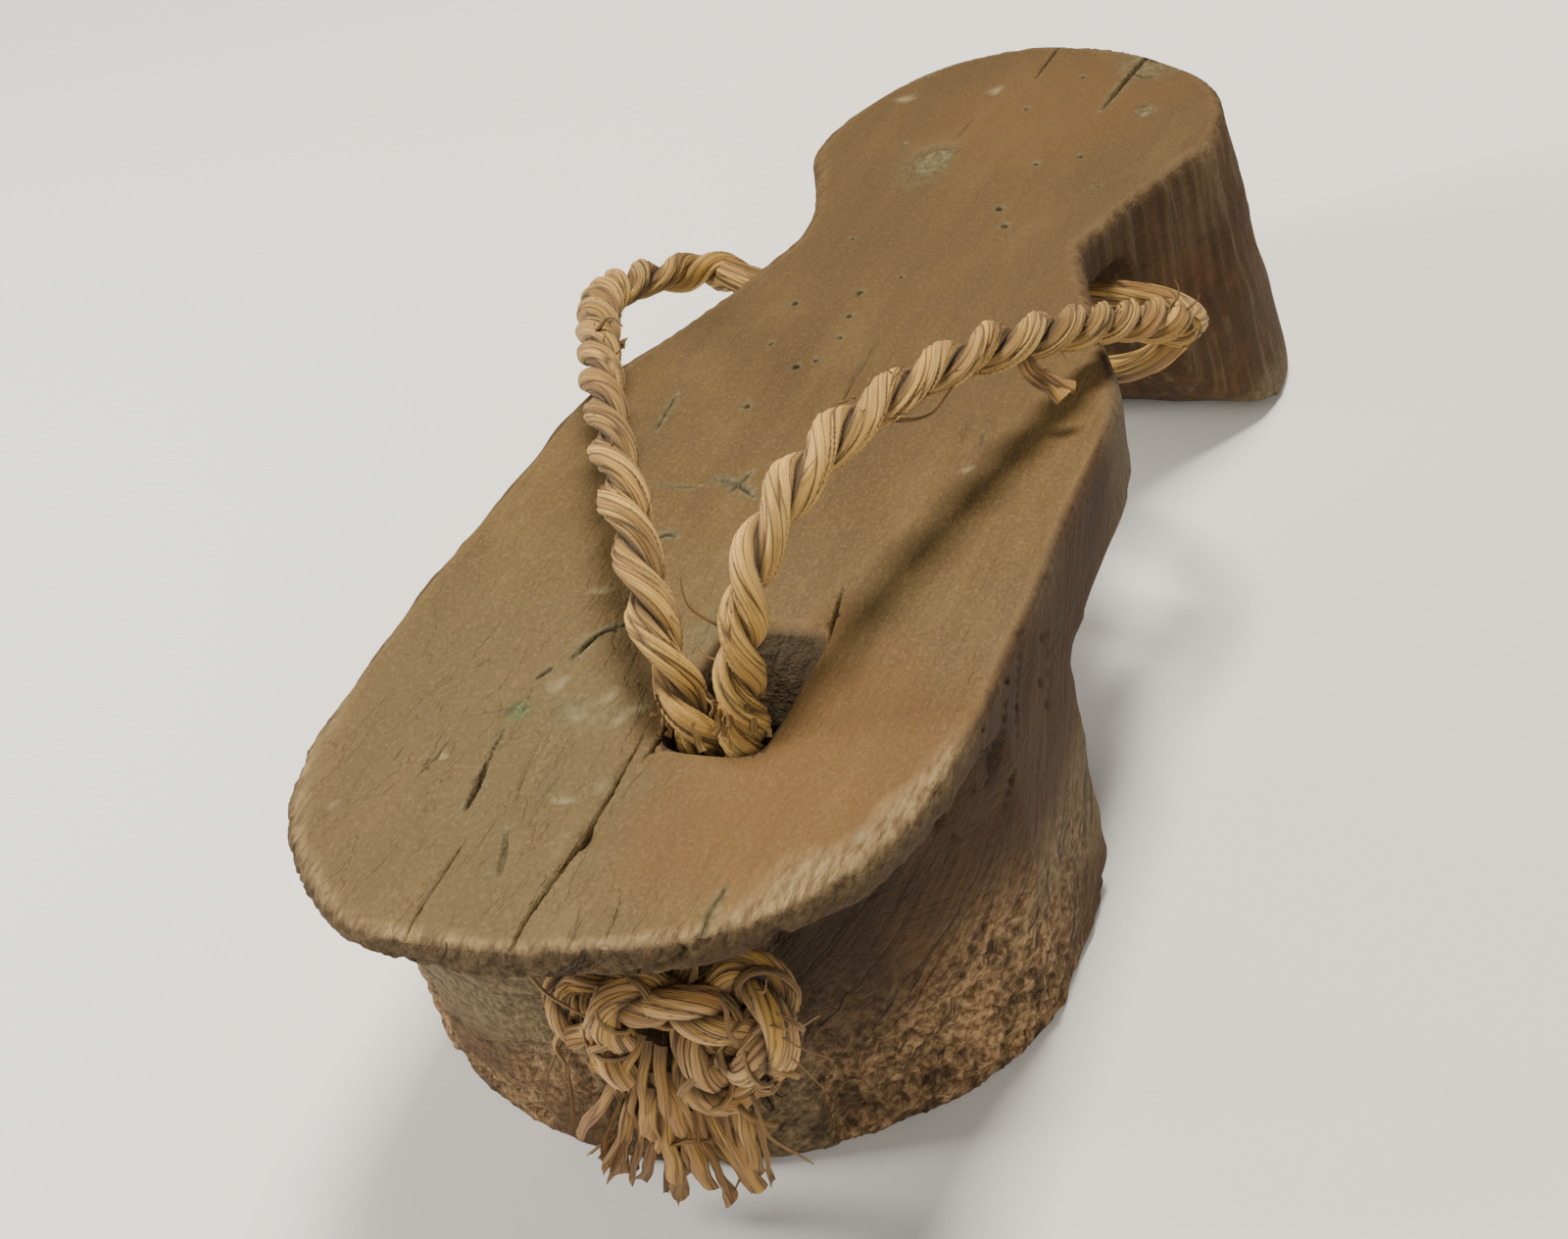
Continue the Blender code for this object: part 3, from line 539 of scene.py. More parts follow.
around = np.arctan2(y - TOE_MIDDLE[1], x - TOE_MIDDLE[0])
reach = np.linalg.norm(here[:, :2] - TOE_MIDDLE, axis=1)
sector = np.clip(((around + math.pi) / math.tau * SECTORS).astype(int), 0, SECTORS - 1)
rim = np.zeros(SECTORS)
np.maximum.at(rim, sector[upper], reach[upper])
around = np.degrees(around)
band = 2.4 + 4.2 * np.exp(-(((around + 34.0) / 24.0) ** 2))
strands = rough_noise(here, (1.25, 0.62, 1.1), 51)
ragged = noise(here, 0.16, 53)
fray = ramp(-y, 70, 84) * (z > 48.5)
fray = fray * held(1.25 - (rim[sector] - reach) / (band * (0.5 + ragged)))
fray *= 1 - 0.85 * ramp(below_deck, 1.2, 2.8) * ramp(around, -78, -52) * ramp(-x, 0, -8)
inward += fray * (0.36 * ramp(strands, 0.34, 0.66) + 0.40 * ramp(ragged, 0.55, 0.9) - 0.08)
for *middle, radius, depth in CHIPS:
    gap = away_from(middle, (1.0, 0.6, 0.6))
    inward += depth * ramp(gap, radius, 0.2)
    mark("cut", 0.5 * ramp(gap, radius, 0.3))
split = away_from(SPLIT_AT, (0.40, 0.15, 0.15))
inward += SPLIT_DEPTH * flank * ramp(split, 1.0, 0.5)
mark("cut", flank * ramp(split + 0.3 * (noise(here, 0.3, 99) - 0.5), 1.05, 0.75))
# Painted shade: the flank beside the right knot, under the deck's overhang, is darkened through the mask of
# cuts.
knot_side_shade = away_from(KNOT_SIDE_SHADE_AT, (1.0, 0.5, 0.62))
mark("cut", 0.74 * flank * ramp(knot_side_shade + 6 * (noise(here, 0.12, 101) - 0.5), 15.0, 5.0))
inward *= 1 - TREADS_SPARED * ramp(-facing[:, 2], 0.5, 0.9) * (z < TREADS_BELOW)

here -= facing * inward[:, None]
here[:, 2] = np.maximum(z, 0.0)
skin.vertices.foreach_set("co", metres(here).astype(np.float32).ravel())
skin.update()
on_flanks = inward[deck < 0.1].mean()
print("deepest mark:", round(float(inward.max()), 2), "mm, mean on the flanks", round(float(on_flanks), 2))

# %% [markdown]
# ## Where the tones lie
#
# Wood changes tone with what has happened to it, and ten masks say where. Cuts, stains and scuffs
# were kept as they were made; the mask of cuts also holds painted shade, in the slot, on one side of
# each ring's groove and on the flank beside the right knot. Moss is green, damp corners are
# grey-green, the handled deck is warm, the chewed toe is pale, the eaten block is earthy, and edges
# are polished. The masks are attributes on the points, which a material reads by name, and which
# travel with the mesh when it is exported.

# %% Tone masks on the sole
PATCHES = (                      # a mask and its strength, then x, y and how far it reaches along both
    ("stain", 0.30, -11.5, 74, 6, 10), ("stain", 0.55, 18, 112, 7.5, 8), ("stain", 0.40, -7, -76, 8, 5),
    ("stain", 0.40, 5, -58, 6, 7), ("warm", 1.0, 26, -84, 24, 34), ("warm", 0.55, 4, 92, 26, 24),
    ("green", 1.0, -16.8, -76.8, 2.4, 3),
)
patch_edge = 0.5 * (rough_noise(here, (0.16, 0.09, 0.16), 61) - 0.5)


def patch(at_x, at_y, reach_x, reach_y):
    """A soft round patch on the plan, ragged at its edge."""
    return ramp(np.hypot((x - at_x) / reach_x, (y - at_y) / reach_y) + patch_edge, 1.15, 0.35)


for name, strength, *where in PATCHES:
    mark(name, strength * patch(*where) * deck)
marks["green"] *= ramp(noise(here, 1.3, 65), 0.25, 0.6)
nose_patch = ramp(-x, 2, 14) * ramp(z, 10, 26) * front_block
nose_patch *= ramp(-y + 30 * (rough_noise(here, (0.05, 0.05, 0.12), 64) - 0.5), 52, 88)
mark("damp", 0.8 * nose_patch)
mark("damp", 0.55 * ramp(noise(here, 0.05, 63), 0.55, 0.8) * flank)
mark("damp", 0.75 * slot)
marks["edge"] = ramp(below_deck, 3.0, 0.3) * (1 - ramp(facing[:, 2], 0.97, 0.995)) * (1 - 0.85 * fray)
marks.update(fray=fray * 1.5, earth=eaten, deck=deck)
for name, values in marks.items():
    kept = skin.attributes.new(name, "FLOAT", "POINT").data
    kept.foreach_set("value", held(values).astype(np.float32))
print("masks:", {name: round(float(held(values).mean()), 3) for name, values in marks.items()})

# %% [markdown]
# ## A small language for nodes
#
# Materials and Geometry Nodes are both graphs of nodes. What comes out of a node is wrapped in a
# class that knows how to be added, subtracted and multiplied. Each such sum makes one Math node,
# so that a long chain of nodes can be written, and read, as a sum.

# %% What comes out of a node
class Value:
    """What comes out of a node. It can be added, subtracted and multiplied like a number."""

    def __init__(self, graph, socket):
        self.graph, self.socket = graph, socket

    def __add__(self, other):
        return self.graph.maths("ADD", self, other)

    def __radd__(self, other):
        return self.graph.maths("ADD", other, self)

    def __sub__(self, other):
        return self.graph.maths("SUBTRACT", self, other)

    def __rsub__(self, other):
        return self.graph.maths("SUBTRACT", other, self)

    def __mul__(self, other):
        return self.graph.maths("MULTIPLY", self, other)

    def __abs__(self):
        return self.graph.maths("ABSOLUTE", self)

    def held(self):
        """The same sum, held between 0 and 1."""
        self.socket.node.use_clamp = True
        return self

    def between(self, low, high):
        """0 at low and 1 at high, held to that range."""
        inputs = {"Value": self, "From Min": low, "From Max": high, "To Min": 0.0, "To Max": 1.0}
        return self.graph.out("ShaderNodeMapRange", inputs, clamp=True)


print("a value can be added, subtracted, multiplied, held and ranged")

# %% [markdown]
# ## What goes into a node
#
# Building a graph in code takes many lines of the same kind: make a node, set its options, join
# its inputs. One method, `out`, does all three, and the others are short names for the nodes that
# this script uses again and again.

# %% A node graph
class Graph:
    """A node tree, with short names for what this script puts into one."""

    def __init__(self, tree):
        self.tree = tree

    def fill(self, socket, value):
        """Joins a value of the graph to an input, or writes a plain value into it."""
        if isinstance(value, Value):
            self.tree.links.new(value.socket, socket)
        else:
            socket.default_value = (*value, 1.0) if socket.type == "RGBA" else value

    def out(self, kind, inputs=None, output=0, **options):
        """Makes a node, sets its options, fills its inputs and gives back one of its outputs."""
        node = self.tree.nodes.new(kind)
        for name, value in options.items():
            setattr(node, name, value)
        for name, value in (inputs or {}).items():
            self.fill(node.inputs[name], value)
        return Value(self, node.outputs[output])

    def maths(self, operation, *values):
        return self.out("ShaderNodeMath", dict(enumerate(values)), operation=operation)

    def vector(self, operation, *values):
        output = "Value" if operation == "DOT_PRODUCT" else "Vector"
        return self.out("ShaderNodeVectorMath", dict(enumerate(values)), output, operation=operation)

    def scaled(self, vector, scale):
        inputs = {0: vector, "Scale": scale}
        return self.out("ShaderNodeVectorMath", inputs, "Vector", operation="SCALE")

    def split(self, vector, axis):
        return self.out("ShaderNodeSeparateXYZ", {"Vector": vector}, axis)

    def combined(self, **parts):
        return self.out("ShaderNodeCombineXYZ", parts)

    def noise(self, vector, stretch, detail=4.0, roughness=0.55, distortion=0.0):
        """Noise with its own fineness along each axis."""
        inputs = {"Vector": self.vector("MULTIPLY", vector, stretch), "Scale": 1.0}
        inputs.update({"Detail": detail, "Roughness": roughness, "Distortion": distortion})
        return self.out("ShaderNodeTexNoise", inputs)

    def seams(self, vector, width):
        """1 on the borders between the cells of a Voronoi pattern, 0 inside them."""
        inputs = {"Vector": vector, "Scale": 1.0}
        border = self.out("ShaderNodeTexVoronoi", inputs, "Distance", feature="DISTANCE_TO_EDGE")
        return (1.0 - border.between(0.0, width)).held()

    def blend(self, share, first, second):
        inputs = {0: share, 6: first, 7: second}             # a Mix node's numbers for its colours
        return self.out("ShaderNodeMix", inputs, 2, data_type="RGBA", blend_type="MIX")

    def paint(self, tone, layers):
        """Lays colours over a tone. Each layer says how strongly, where, and which colour."""
        for strength, where, colour in layers:
            tone = self.blend(where * strength, tone, colour)
        return tone


print("a graph knows", ", ".join(name for name in vars(Graph) if name[0] != "_"))

# %% [markdown]
# ## From patterns to a material
#
# Each material ends the same way: its tone, its roughness and its relief are joined to the
# Principled shader, the relief through a bump node. The masks of the sole come in by name.

# %% A new material, and how one is finished
BUMP_STRENGTH, BUMP_DEPTH = 0.9, 0.0007


def new_material(name):
    material = bpy.data.materials.new(name)
    material.use_nodes = True
    return material, Graph(material.node_tree)


def attribute(g, name, output="Fac"):
    return g.out("ShaderNodeAttribute", output=output, attribute_name=name)


def finish_material(g, tone, rough, relief, **plain):
    """Joins the tone, the roughness and the relief to the shader, and writes its plain values."""
    shader = g.tree.nodes["Principled BSDF"]
    depth = {"Height": relief, "Strength": BUMP_STRENGTH, "Distance": BUMP_DEPTH}
    g.fill(shader.inputs["Base Color"], tone)
    g.fill(shader.inputs["Roughness"], rough.held())
    g.fill(shader.inputs["Normal"], g.out("ShaderNodeBump", depth))
    for name, value in plain.items():
        shader.inputs[name.replace("_", " ")].default_value = value
    print(len(g.tree.nodes), "nodes in the material")


wood, g = new_material("weathered_wood")
print("started", wood.name)

# %% [markdown]
# ## The patterns of weathered wood
#
# The grain is one noise, stretched along the sole, so that it reads as fibres on the deck and as
# growth rings where the blocks are cut across. Finer noises add hairlines, specks and grit. On the
# front block the layers lean: two dot products turn a place into how far across and along them it
# lies. Places are in metres here, so a fineness of 1500 is one and a half periods a millimetre.

# %% Patterns for the wood
place = g.out("ShaderNodeTexCoord", output="Object")
figure = g.noise(place, (150, 9, 150), 5.0, 0.6, 0.6)
fibres = g.noise(place, (1500, 42, 1500), 4.0, 0.65)
hairlines = g.noise(place, (3600, 70, 3600), 2.0, 0.5)
blotches = g.noise(place, (26, 15, 30), 3.0, 0.5)
smears = g.noise(place, (95, 34, 95), 4.0, 0.62)
specks = g.noise(place, (900, 700, 900), 3.0, 0.6)
grit = g.noise(place, (2100, 1300, 2100), 3.0, 0.6)
fluff = g.noise(place, (1150, 260, 800), 3.0, 0.6)
gouges = g.noise(place, (560, 560, 34), 3.0, 0.55)
peeling = g.noise(place, (210, 62, 210), 4.0, 0.58, 0.3).between(0.488, 0.518)

mask = {name: attribute(g, name) for name in marks}
toward_heel = g.split(place, "Y")
flank_share = (1.0 - mask["deck"]).held()
front_flank = flank_share * toward_heel.between(0.03, -0.02)
heel_flank = (flank_share - front_flank).held()
toe_share = (toward_heel.between(-0.030, -0.070) - mask["warm"]).held()
# Painted shade: the top of the front block's flank, under the deck's overhang, is darkened.
overhang_shade = g.split(place, "Z").between(0.024, 0.046) * front_flank

across_layers = g.vector("DOT_PRODUCT", place, tuple(240.0 * ACROSS_GRAIN))
along_layers = g.vector("DOT_PRODUCT", place, tuple(24.0 * ALONG_GRAIN))
layered = g.combined(X=across_layers, Y=along_layers)
strokes = g.noise(layered, (5.5, 1.7, 1.0), 3.0, 0.6)
off_line = abs(g.noise(layered, (1.0, 1.0, 1.0), 3.0, 0.5) - 0.5)
checks = (1.0 - off_line.between(0.0, 0.016)).held() * front_flank * blotches.between(0.45, 0.62)
warp = g.scaled(g.out("ShaderNodeTexNoise", {"Vector": place, "Scale": 260.0}, "Color"), 0.004)
ground = g.vector("MULTIPLY", g.vector("ADD", place, warp), (230, 170, 300))
clod_cracks = g.seams(ground, 0.13) * mask["earth"] * smears.between(0.40, 0.58)
print("patterns:", len(g.tree.nodes), "nodes")

# %% [markdown]
# ## The tones of weathered wood
#
# The tone is built like a glaze, from a warm brown upwards. Each row lays one colour over all that
# came before, where its pattern or mask says, with its own strength. The relief is a sum of the
# same patterns, so that colour and bump agree, and eaten wood is rougher than handled wood.

# %% The sole's tones and relief
brown = g.blend(figure.between(0.36, 0.64), (0.110, 0.064, 0.0170), (0.145, 0.087, 0.0235))
earthy = g.blend(specks.between(0.38, 0.62), (0.190, 0.100, 0.042), (0.700, 0.450, 0.225))
grey_green = g.blend(specks.between(0.35, 0.7), (0.130, 0.108, 0.054), (0.320, 0.255, 0.142))
fluffy = g.blend(fluff.between(0.36, 0.62), (0.112, 0.070, 0.030), (0.320, 0.225, 0.104))
mossy = g.blend(specks.between(0.4, 0.7), (0.068, 0.066, 0.030), (0.215, 0.196, 0.112))
leafy = g.blend(specks.between(0.42, 0.62), (0.010, 0.034, 0.012), (0.100, 0.185, 0.064))
tone = g.paint(brown, (
    (0.42, fibres.between(0.45, 0.75), (0.070, 0.038, 0.012)),
    (0.42, hairlines.between(0.58, 0.76), (0.066, 0.036, 0.012)),
    (0.60, blotches.between(0.42, 0.66), (0.086, 0.057, 0.019)),
    (0.50, smears.between(0.52, 0.70), (0.088, 0.054, 0.020)),
    (0.34, smears.between(0.47, 0.32), (0.225, 0.148, 0.048)),
    (0.34, grit.between(0.50, 0.70), (0.058, 0.033, 0.012)),
    (0.32, grit.between(0.48, 0.30), (0.300, 0.200, 0.090)),
    (0.62, toward_heel.between(-0.06, 0.04), (0.070, 0.041, 0.0135)),
    (0.24, toe_share, (0.150, 0.122, 0.062)),
    (0.42, mask["warm"], (0.172, 0.078, 0.019)),
    (0.74, flank_share, (0.052, 0.0235, 0.0095)),
    (0.30, flank_share * smears.between(0.50, 0.66), (0.170, 0.078, 0.028)),
    (0.72, mask["earth"], earthy),
    (0.72, mask["damp"], grey_green),
    (0.80, mask["fray"], fluffy),
    (0.16, mask["edge"], (0.250, 0.162, 0.068)),
    (0.80, mask["stain"], mossy),
    (0.85, mask["green"], leafy),
    (0.42, strokes.between(0.48, 0.66) * front_flank, (0.036, 0.018, 0.008)),
    (0.26, strokes.between(0.46, 0.32) * front_flank, (0.215, 0.112, 0.044)),
    (0.44, gouges.between(0.50, 0.66) * heel_flank, (0.030, 0.017, 0.009)),
    (0.30, gouges.between(0.46, 0.34) * heel_flank, (0.170, 0.140, 0.078)),
    (0.66, checks, (0.022, 0.012, 0.006)),
    # painted shade under the deck's overhang
    (0.55, overhang_shade, (0.028, 0.013, 0.006)),
    (0.46, smears.between(0.50, 0.62) * mask["earth"], (0.042, 0.022, 0.009)),
    (0.34, clod_cracks, (0.030, 0.016, 0.007)),
    (0.56, mask["scuff"], (0.290, 0.236, 0.130)),
    # cracks, pits, chips and splits, with the painted shade of the slot, of one side of each ring's groove
    # and of the flank beside the right knot
    (0.93, mask["cut"], (0.018, 0.012, 0.007)),
))
relief = fibres * (0.34 + flank_share * 0.55)
for height, strength in (
    (grit, 0.34),
    (peeling * (0.10 + toe_share), 0.27),
    (specks * flank_share, 0.9),
    (specks * mask["earth"], 1.5),
    (fluff * mask["fray"], 1.4),
    (strokes * front_flank, 1.3),
    (gouges * heel_flank, 1.6),
    (checks, -1.6),
    (clod_cracks, -1.0),
):
    relief = relief + height * strength
rough = 0.58 + flank_share * 0.26 + fibres.between(0.3, 0.8) * 0.12
finish_material(g, tone, rough, relief, Specular_IOR_Level=0.32)
skin.materials.clear()
skin.materials.append(wood)
sole = shown("carved_sole", skin)
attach(sole, "root")
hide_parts("wooden_sole")

# %% [markdown]
# ## How the rope runs
#
# Straw rope of this kind is two plies laid round each other. Both strands of the thong rise out of
# the hole, part over the instep and come down outside the waist, where their plies pass under the
# deck and meet. A smooth curve is drawn through each short table of places, and read again at even
# steps.

# %% Tables of the rope's routes
STRANDS = {                          # x, y, z, and the twist there in half turns per millimetre
    "left": [
        (3.4, -96, 43.2, 0.1), (5.2, -89.6, 43, 0.1), (7.4, -83.2, 44, 0.1), (8.6, -78.8, 47.8, 0.11),
        (8.8, -77.6, 55.4, 0.11), (7.8, -77, 62, 0.11), (4.4, -72.9, 68.6, 0.105),
        (-1.4, -63.4, 73.5, 0.095), (-8.5, -51.2, 76, 0.09), (-17, -36.2, 76.2, 0.09),
        (-28.6, -15.2, 72.6, 0.085), (-39, 4.4, 66.8, 0.09), (-46.4, 19.6, 60.2, 0.085),
        (-51.6, 35.2, 53, 0.06), (-53.8, 46.8, 47.4, 0.06), (-53, 54.2, 43.6, 0.1),
        (-48.5, 57.4, 42.6, 0.15), (-41.4, 56.6, 41, 0.08),
    ],
    "right": [
        (12.4, -95, 43.6, 0.12), (13.4, -88.4, 43.8, 0.12), (14.3, -82.4, 45, 0.13),
        (14.9, -78.6, 49.4, 0.14), (15.2, -77.6, 57.2, 0.15), (16, -76.4, 65, 0.145),
        (17.3, -74, 72.6, 0.13), (18.6, -69.6, 78.6, 0.11), (19.9, -62, 81.6, 0.09),
        (21.8, -51, 82, 0.08), (24.6, -36.6, 79.8, 0.075), (28.4, -20.6, 75.4, 0.08),
        (32.8, -4.2, 68.6, 0.09), (37.2, 11, 61, 0.135), (41.2, 23.2, 53.8, 0.15),
        (44.2, 30, 48.6, 0.15),
    ],
}
WAIST_PLIES = [                      # x, y, z from the left strand across to the right one
    [
        (-45, 57, 42.8), (-37, 56, 40.6), (-20, 54.6, 40), (4, 53.4, 40), (24, 53.6, 40),
        (32, 49.6, 41.6), (39, 42.6, 44.2), (43.6, 34.6, 46.6), (43.8, 30.6, 48),
    ],
    [
        (-45, 55.6, 42.8), (-37, 53.4, 40.4), (-20, 46.4, 39.6), (4, 38, 39.4), (22, 32.4, 39.4),
        (31, 30.4, 40.4), (38, 28.2, 43.8), (42.8, 28.8, 47.6),
    ],
]


def smooth_curve(points, steps):
    """Points along a Catmull-Rom curve through the given ones, with steps of them to each span."""
    knots = np.array(points, dtype=float)
    knots = np.vstack([2 * knots[0] - knots[1], knots, 2 * knots[-1] - knots[-2]])
    found = []
    for p0, p1, p2, p3 in zip(knots, knots[1:], knots[2:], knots[3:]):
        spans = [math.sqrt(np.linalg.norm(b - a)) for a, b in ((p0, p1), (p1, p2), (p2, p3))]
        into = spans[1] * ((p1 - p0) / spans[0] - (p2 - p0) / (spans[0] + spans[1])) + (p2 - p1)
        away = spans[1] * ((p3 - p2) / spans[2] - (p3 - p1) / (spans[1] + spans[2])) + (p2 - p1)
        for t in np.arange(steps) / steps:
            found.append((2 * t**3 - 3 * t**2 + 1) * p1 + (t**3 - 2 * t**2 + t) * into
                         + (3 * t**2 - 2 * t**3) * p2 + (t**3 - t**2) * away)
    found.append(knots[-2])
    return np.array(found)


def step_lengths(path):
    return np.linalg.norm(np.diff(path[:, :3], axis=0), axis=1)


def even_steps(path, spacing):
    lengths = np.concatenate([[0.0], np.cumsum(step_lengths(path))])
    wanted = np.linspace(0.0, lengths[-1], max(3, round(lengths[-1] / spacing) + 1))
    return np.column_stack([np.interp(wanted, lengths, column) for column in path.T])


for name, route in STRANDS.items():
    print(f"the {name} strand is {step_lengths(smooth_curve(route, 8)).sum():.0f} mm long")

# %% [markdown]
# ## Straw
#
# Each ply is a bundle of flat, dry leaves, so its colour runs in long streaks. To draw them, the
# material needs to know where round the ply and how far along it a point is. The node graphs below
# store both as one attribute, `fibre`, with the angle as a sine and a cosine so that no seam shows.
# Another attribute holds painted shade, which darkens the groove where the plies press together
# and the root of each cut blade, and `tint` sets one blade apart from the next.

# %% The straw's material
Straw = namedtuple("Straw", "name pale middle dark streak")      # streak: how fine its threads are
STRAWS = [
    Straw("twisted_straw", (0.690, 0.425, 0.112), (0.222, 0.116, 0.027), (0.034, 0.014, 0.004), 6.2),
    Straw("knot_straw", (0.560, 0.345, 0.132), (0.300, 0.165, 0.056), (0.050, 0.022, 0.007), 4.6),
    Straw("cut_straw", (0.650, 0.405, 0.142), (0.350, 0.180, 0.054), (0.085, 0.036, 0.010), 4.2),
]


def leaves(g, fibre):
    """The leaves that a ply is rolled from: 1 in the seams between them, and a number for each leaf."""
    placed = g.vector("MULTIPLY", fibre, (1.35, 1.35, 42.0))
    cells = g.out("ShaderNodeTexVoronoi", {"Vector": placed, "Scale": 1.0}, "Color", feature="F1")
    return g.seams(placed, 0.075), g.split(cells, "X")


def painted_strand_light(g):
    """Painted light: where the right strand is lightened, from the hole up to the instep; the knots lie
    outside it.
    """
    place = g.out("ShaderNodeTexCoord", output="Object")
    along = g.split(place, "Y")
    return g.split(place, "X").between(0.004, 0.013) * (
        along.between(-0.018, -0.055) * along.between(-0.096, -0.086))


def straw_material(straw):
    material, g = new_material(straw.name)
    fibre = attribute(g, "fibre", "Vector")
    seam, own_shade = leaves(g, fibre)
    threads = g.noise(fibre, (straw.streak, straw.streak, 55.0), 3.0, 0.6)
    hairs = g.noise(fibre, (straw.streak * 3.1, straw.streak * 3.1, 90.0), 2.0, 0.6)
    patches = g.noise(fibre, (0.8, 0.8, 120.0), 2.0, 0.5)
    golden = g.noise(fibre, (1.1, 1.1, 75.0), 2.0, 0.5, 0.4)
    tone = g.paint(g.blend(own_shade, straw.middle, straw.pale), (
        (0.80, threads.between(0.52, 0.64), straw.dark),
        (0.40, hairs.between(0.58, 0.70), straw.dark),
        (0.58, golden.between(0.50, 0.64), (0.54, 0.305, 0.046)),
        (0.45, patches.between(0.54, 0.72), (0.30, 0.125, 0.030)),
        # painted light on the right strand, from the hole upwards
        (0.44, painted_strand_light(g), (0.86, 0.53, 0.145)),
        (0.66, attribute(g, "tint"), (0.22, 0.094, 0.022)),
        (0.88, seam, straw.dark),
        # painted shade in the grooves between plies and at the roots of blades
        (0.90, attribute(g, "shade_paint"), (0.036, 0.016, 0.005)),
    ))
    rough = 0.56 + threads * 0.25
    finish_material(g, tone, rough, threads + hairs * 0.45, Specular_IOR_Level=0.38, Sheen_Weight=0.08)
    return material


rope_straw, knot_straw, blade_straw = (straw_material(straw) for straw in STRAWS)
print(len(STRAWS), "straws")

# %% [markdown]
# ## What the two rope graphs share
#
# Geometry Nodes suit anything that follows a rule: one graph makes every piece of its kind from a
# bare line. Both graphs here end alike. `fibre` is stored, the skin is lifted by a noise read from
# it, so that the ridges run with the leaves, instances are made real and the straw is set.

# %% Parts of a geometry graph
def geometry_graph(name, **inputs):
    """A new geometry graph, what its named inputs give, and the socket at its end."""
    tree = bpy.data.node_groups.new(name, "GeometryNodeTree")
    tree.interface.new_socket("Geometry", in_out="INPUT", socket_type="NodeSocketGeometry")
    for label, value in inputs.items():
        kind = {float: "NodeSocketFloat", int: "NodeSocketInt"}.get(type(value), "NodeSocketMaterial")
        socket = tree.interface.new_socket(label.replace("_", " "), in_out="INPUT", socket_type=kind)
        if value is not None:
            socket.default_value = value
    tree.interface.new_socket("Geometry", in_out="OUTPUT", socket_type="NodeSocketGeometry")
    g = Graph(tree)
    given = {s.name: Value(g, s) for s in tree.nodes.new("NodeGroupInput").outputs if s.name}
    return g, given, tree.nodes.new("NodeGroupOutput").inputs["Geometry"]


def read(g, name, kind="FLOAT"):
    return g.out("GeometryNodeInputNamedAttribute", {"Name": name}, "Attribute", data_type=kind)


def keep(g, geometry, name, value, kind="FLOAT"):
    inputs = {"Geometry": geometry, "Name": name, "Value": value}
    return g.out("GeometryNodeStoreNamedAttribute", inputs, data_type=kind, domain="POINT")


def tilted_line(g, given, tilt):
    """The chains of edges that came in, as curves that are turned about themselves."""
    line = g.out("GeometryNodeMeshToCurve", {"Mesh": given["Geometry"]})
    return g.out("GeometryNodeSetCurveTilt", {"Curve": line, "Tilt": tilt})


def unit_circle(g, sides):
    """A circle of radius 1. Its points keep how far round it they lie."""
    circle = g.out("GeometryNodeCurvePrimitiveCircle", {"Resolution": sides, "Radius": 1.0})
    return keep(g, circle, "round", g.out("GeometryNodeSplineParameter", output="Factor"))


def swept(g, line, profile, girth):
    """The profile swept along the line. The points keep how far along it they lie."""
    line = keep(g, line, "along", g.out("GeometryNodeSplineParameter", output="Length"))
    inputs = {"Curve": line, "Profile Curve": profile, "Scale": girth, "Fill Caps": True}
    return g.out("GeometryNodeCurveToMesh", inputs)


def straw_skin(g, geometry, given, flutes):
    """Stores fibre, lifts the skin into leaves and fibres, and gives it its material."""
    angle = read(g, "round") * math.tau + read(g, "along") * given["Wind"]
    around = g.combined(X=g.maths("COSINE", angle), Y=g.maths("SINE", angle), Z=read(g, "along"))
    fibre = g.vector("ADD", around, g.combined(X=given["Seed"], Y=given["Seed"]))
    geometry = keep(g, geometry, "fibre", fibre, "FLOAT_VECTOR")
    ridges = g.noise(fibre, (flutes, flutes, 34.0), 2.0, 0.55, 0.3)
    seam, own_height = leaves(g, fibre)
    lift = ((ridges - 0.5) * 1.3 + (own_height * 0.5 - 0.2) - seam * 0.75) * given["Fibre Height"]
    out = g.scaled(g.out("GeometryNodeInputNormal"), lift)
    geometry = g.out("GeometryNodeSetPosition", {"Geometry": geometry, "Offset": out})
    geometry = g.out("GeometryNodeSetShadeSmooth", {"Geometry": geometry})
    geometry = g.out("GeometryNodeRealizeInstances", {"Geometry": geometry})
    return g.out("GeometryNodeSetMaterial", {"Geometry": geometry, "Material": given["Straw"]})


print("geometry helpers ready")

# %% [markdown]
# ## Laying a ply with Geometry Nodes
#
# A ply runs round the rope's middle line at a steady distance. The line comes in as a chain of
# edges that carries `turn` and `girth`. The graph makes it a curve, tilts it, pushes it out along
# its normal, sweeps a circle along it, and stores how much each side of the tube faces the other
# ply, which the straw's colour darkens as painted shade.

# %% The graph that lays one ply
PLY_FLUTES = 3.8                     # how many ridges there are round the ply, about
g, given, end = geometry_graph(
    "lay_a_ply", Distance_Out=0.0015, Ply_Radius=0.0019, Start_Angle=0.0, Sides=36, Wind=0.0,
    Fibre_Height=0.0006, Seed=0.0, Straw=None)
ply_graph = g.tree
line = tilted_line(g, given, read(g, "turn") + given["Start Angle"])
out = g.scaled(g.out("GeometryNodeInputNormal"), given["Distance Out"] * read(g, "girth"))
line = keep(g, line, "outwards", out, "FLOAT_VECTOR")
line = g.out("GeometryNodeSetPosition", {"Geometry": line, "Offset": out})
line = g.out("GeometryNodeSetCurveTilt", {"Curve": line, "Tilt": 0.0})
tube = swept(g, line, unit_circle(g, given["Sides"]), given["Ply Radius"] * read(g, "girth"))
